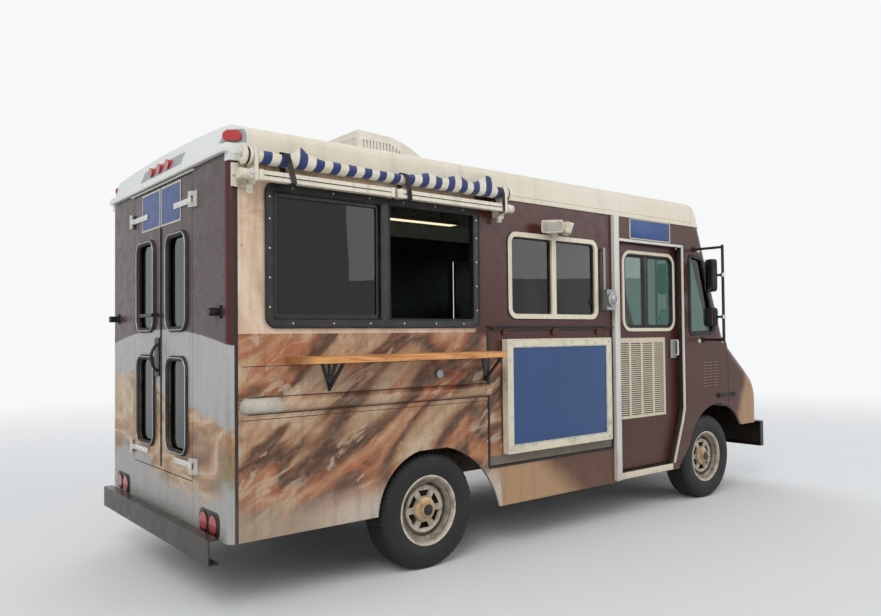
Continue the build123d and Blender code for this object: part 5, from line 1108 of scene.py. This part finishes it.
def lamp_trim():
    """Bezels, plates and lenses of the lamps."""
    rings = Piece("tail_lamp_rings", RUBBER)
    heads = Piece("headlamp_rings", BRIGHT, "hood")
    plates = Piece("tail_lamp_plates", BUMPER_BLACK)
    bezel = [(0.0505, 0), (0.058, 0), (0.058, 0.006), (0.0505, 0.010), (0.0505, 0)]
    head_bezel = [(0.090, 0), (0.104, 0), (0.103, 0.012), (0.094, 0.016), (0.090, 0.010), (0.090, 0)]
    for side in (-1, 1):
        for y in (0.7, 0.8325):
            rings.lathe((BODY_REAR, side * y, TAIL_LAMP_Z), BACK, bezel, 28)
        heads.lathe((2.6275, side * 0.705, 0.862), (1, 0, 0), head_bezel, 36)
        y0, y1 = sorted((side * 0.628, side * 0.905))
        plates.slab(rear_ring(BODY_REAR, y0, y1, 0.404, 0.540, 0.045), BACK, 0.004)
    faces = Piece("flood_lamp_lenses", CLEAR)
    shells = Piece("flood_lamp_rims", AWNING_CREAM)
    for over, look in ((-0.026, (-0.70, -0.66, -0.26)), (0.026, (0.72, -0.62, -0.30))):
        way = Vector(look).normalized()
        across = Vector((-way.y, way.x, 0)).normalized()
        rise = way.cross(across)
        front = Vector((REAR_AXLE + 1.085 + over, -SIDE - 0.058, 2.262)) + way * 0.100
        lens = [front + across * u + rise * v for u, v in centred(0.066, 0.032, 0.010)]
        faces.slab(lens, way, 0.002, 0.003)
        rim = [front + across * u + rise * v for u, v in centred(0.0715, 0.0375, 0.013)]
        shells.sweep(rim, way, band(0.009, 0.006))
        for n in range(5):
            fin = front - way * (0.036 + 0.011 * n)
            ring = centred(0.074 - 0.0085 * n, 0.0415 - 0.0032 * n, 0.012, 3)
            shells.sweep([fin + across * u + rise * v for u, v in ring], way, band(0.006, 0.003))


def mirror_trim():
    """Mirror glass, large above and convex below, and the clamps on the arms."""
    mirror = Piece("mirror_glass", SILVERED)
    clamps = Piece("mirror_clamps", BRIGHT)
    clamp = [(0.0125, 0), (0.019, 0), (0.019, 0.032), (0.0125, 0.032), (0.0125, 0)]
    large = (1.180, 1.971, 0.075, 0.140, 0.042, 32)
    small = (1.172, 1.612, 0.062, 0.083, 0.046, 15)
    for side in (-1, 1):
        for y, z, half_y, half_z, deep, turn in (large, small):
            cos, sin = math.cos(math.radians(turn)), math.sin(math.radians(turn))
            centre = Vector((FRONT_AXLE - 0.216, side * y, z))
            back = -deep / 2
            points = []
            for u, v in centred(half_y - 0.009, half_z - 0.009, 0.03):
                points.append(centre + Vector((back * cos - u * sin, side * (back * sin + u * cos), v)))
            mirror.slab(points, (-cos, -side * sin, 0), 0.0012)
            clamps.lathe((FRONT_AXLE - 0.207, side * 1.288, z - 0.016), (0, 0, 1), clamp, 18)


def board_trim():
    """Inner edge, outer edge and screws of the board on the hatch."""
    face_y = -SIDE - 0.0503
    edge = Piece("board_inner_edge", BRIGHT, "side_hatch")
    inner = side_ring(face_y + 0.0075, -0.7095, 0.2885, 0.723, 1.390, 0.004, 2)
    edge.sweep(inner, RIGHT, band(0.006, 0.006))
    screws = Piece("board_screws", GALVANISED, "side_hatch")
    for x in (-0.738, 0.317):
        for z in (0.694, 1.419):
            screws.bolt((x, face_y, z), RIGHT, 0.008, 0.005)
    lines = Piece("board_outer_edge", TRIM_CREAM, "side_hatch")
    outer = side_ring(face_y, -0.7625, 0.3415, 0.670, 1.443, 0.004, 2)
    lines.sweep(outer, RIGHT, band(0.008, 0.003))


def power_trim():
    """The meter cover's ring and dome."""
    x, z = POST_BACK - 0.0945, 1.738
    ring = Piece("power_cover_ring", BRIGHT)
    profile = [(0.052, 0), (0.052, 0.004), (0.046, 0.009), (0.041, 0.004), (0.0, 0.004)]
    ring.lathe((x, -SIDE - 0.084, z), RIGHT, profile, 36)
    dome = Piece("power_cover_dome", ALUMINIUM)
    dome.lathe((x, -SIDE - 0.0885, z), RIGHT, [(0.040, 0), (0.038, 0.006), (0.028, 0.011), (0.0, 0.013)], 36)


def pad(name, centre, size, turn, channels):
    """A crowned cushion with pulled-in sides, sewn channels across it and piping round its edge."""
    bm = bmesh.new()
    bmesh.ops.create_cube(bm, size=2.0)
    bmesh.ops.subdivide_edges(bm, edges=bm.edges[:], cuts=21, use_grid_fill=True)
    half = Vector(size) / 2
    place = Matrix.Translation(centre) @ Matrix.Rotation(math.radians(turn), 4, "Y")
    for vert in bm.verts:
        a, b, c = vert.co
        norm = (abs(a) ** 7 + abs(b) ** 7 + abs(c) ** 7) ** (1 / 7)
        a, b, c = a / norm, b / norm, c / norm
        waist_x = 1.0 - 0.035 * (1 - b * b) * (1 - c * c)
        waist_y = 1.0 - 0.045 * (1 - a * a) * (1 - c * c)
        crown = 1.0 + 0.30 * (1 - a * a) * (1 - b * b) if c > 0 else 1.0
        groove = sum(math.exp(-((a - at) / 0.035) ** 2) for at in channels) if c > 0 else 0.0
        crease = 0.0022 * noise.noise(Vector((a * 5.0, b * 5.0, c * 2.0)))
        height = c * half.z * (0.78 * crown) - 0.008 * groove * (1 - b ** 4) + crease
        vert.co = place @ Vector((a * half.x * waist_x, b * half.y * waist_y, height))
    mesh = bpy.data.meshes.new(name)
    bm.to_mesh(mesh)
    bm.free()
    made = show(mesh, SEAT, "body")
    piping = Piece(f"{name}_piping", RUBBER)
    edge = centred(half.x * 0.985, half.y * 0.985, 0.05, 5)
    cord = [(0.004 * math.cos(n), 0.004 * math.sin(n)) for n in (0, 1.05, 2.1, 3.14, 4.19, 5.24)]
    up = place.to_3x3() @ Vector((0, 0, 1))
    piping.sweep([place @ Vector((u, v, half.z * 0.42)) for u, v in edge], up, cord)
    return made


def driver_seat():
    """The driver's seat: two cushions on a sheet metal pedestal."""
    base = pad("seat_cushion", (0.975, 0.45, 1.145), (0.46, 0.45, 0.12), 0, (-0.5, -0.16, 0.18, 0.52))
    pad("seat_back", (0.716, 0.45, 1.50), (0.60, 0.43, 0.11), -82, (-0.6, -0.3, 0.0, 0.3))
    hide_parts("driver_seat")
    stand = Piece("seat_pedestal", UNDER_BLACK)
    stand.box((0.8225, 0.33, 0.7005), (1.1025, 0.55, 1.04), 0.012)
    stand.box((0.77, 0.26, 1.04), (1.17, 0.64, 1.085), 0.008)
    for z in (0.80, 0.88, 0.96):
        stand.strip((0.86, 0.33, z), (1.065, 0.33, z), RIGHT, bead(0.006))
    stand.box((0.70, 0.42, 1.08), (0.78, 0.48, 1.30), 0.006)


def stage_and_light():
    """A pale floor that fades into the backdrop, three soft lamps and an even sky."""
    s = Shade("floor_pale")
    s.out(s.cloud((0.80, 0.80, 0.80, 1), (0.83, 0.83, 0.83, 1), 0.8), 0.9)
    away = (s.x * s.x + s.y * s.y).math("SQRT")
    pale = s.node("Emission", {0: PALE_LIGHT, 1: 1.0})
    far = away.rise(4.5, 15.0) * s.seen_directly()
    surface = s.node("MixShader", {0: far, 1: s.bsdf.outputs[0], 2: pale})
    s.feed(s.tree.nodes["Material Output"].inputs[0], surface)
    bpy.ops.mesh.primitive_plane_add(size=120, location=(0, 0, 0))
    floor = bpy.context.object
    floor.name = "stage_floor"
    floor.data.materials.append(s.mat)
    world = bpy.data.worlds.new("studio")
    scene.world = world
    world.use_nodes = True
    world.node_tree.nodes.clear()
    sky = Graph(world.node_tree)
    ambient = sky.node("Background", {0: (0.92, 0.96, 1.0, 1), 1: 0.62})
    backdrop = sky.node("Background", {0: PALE_LIGHT, 1: 1.0})
    blend = sky.node("MixShader", {0: sky.seen_directly(), 1: ambient, 2: backdrop})
    sky.node("OutputWorld", {0: blend})
    lamps = (("key", (-9, -7, 9), 620, 6), ("fill", (7, -9, 6), 260, 7), ("back", (3, 9, 8), 260, 7))
    for name, place, strength, size in lamps:
        data = bpy.data.lights.new(name, "AREA")
        data.energy = strength
        data.size = size
        lamp = bpy.data.objects.new(name, data)
        lamp.location = place
        lamp.rotation_euler = (Vector((0, 0, 1.2)) - Vector(place)).to_track_quat("-Z", "Y").to_euler()
        scene.collection.objects.link(lamp)


roof_trim()
driver_seat()
side_rivets()
window_trim()
rear_trim()
side_trim()
awning_cloth()
awning_straps()
awning_frame()
tyres()
lamp_trim()
mirror_trim()
board_trim()
power_trim()
for piece in Piece.waiting:
    piece.done()
stage_and_light()
scene.view_settings.view_transform = "Standard"
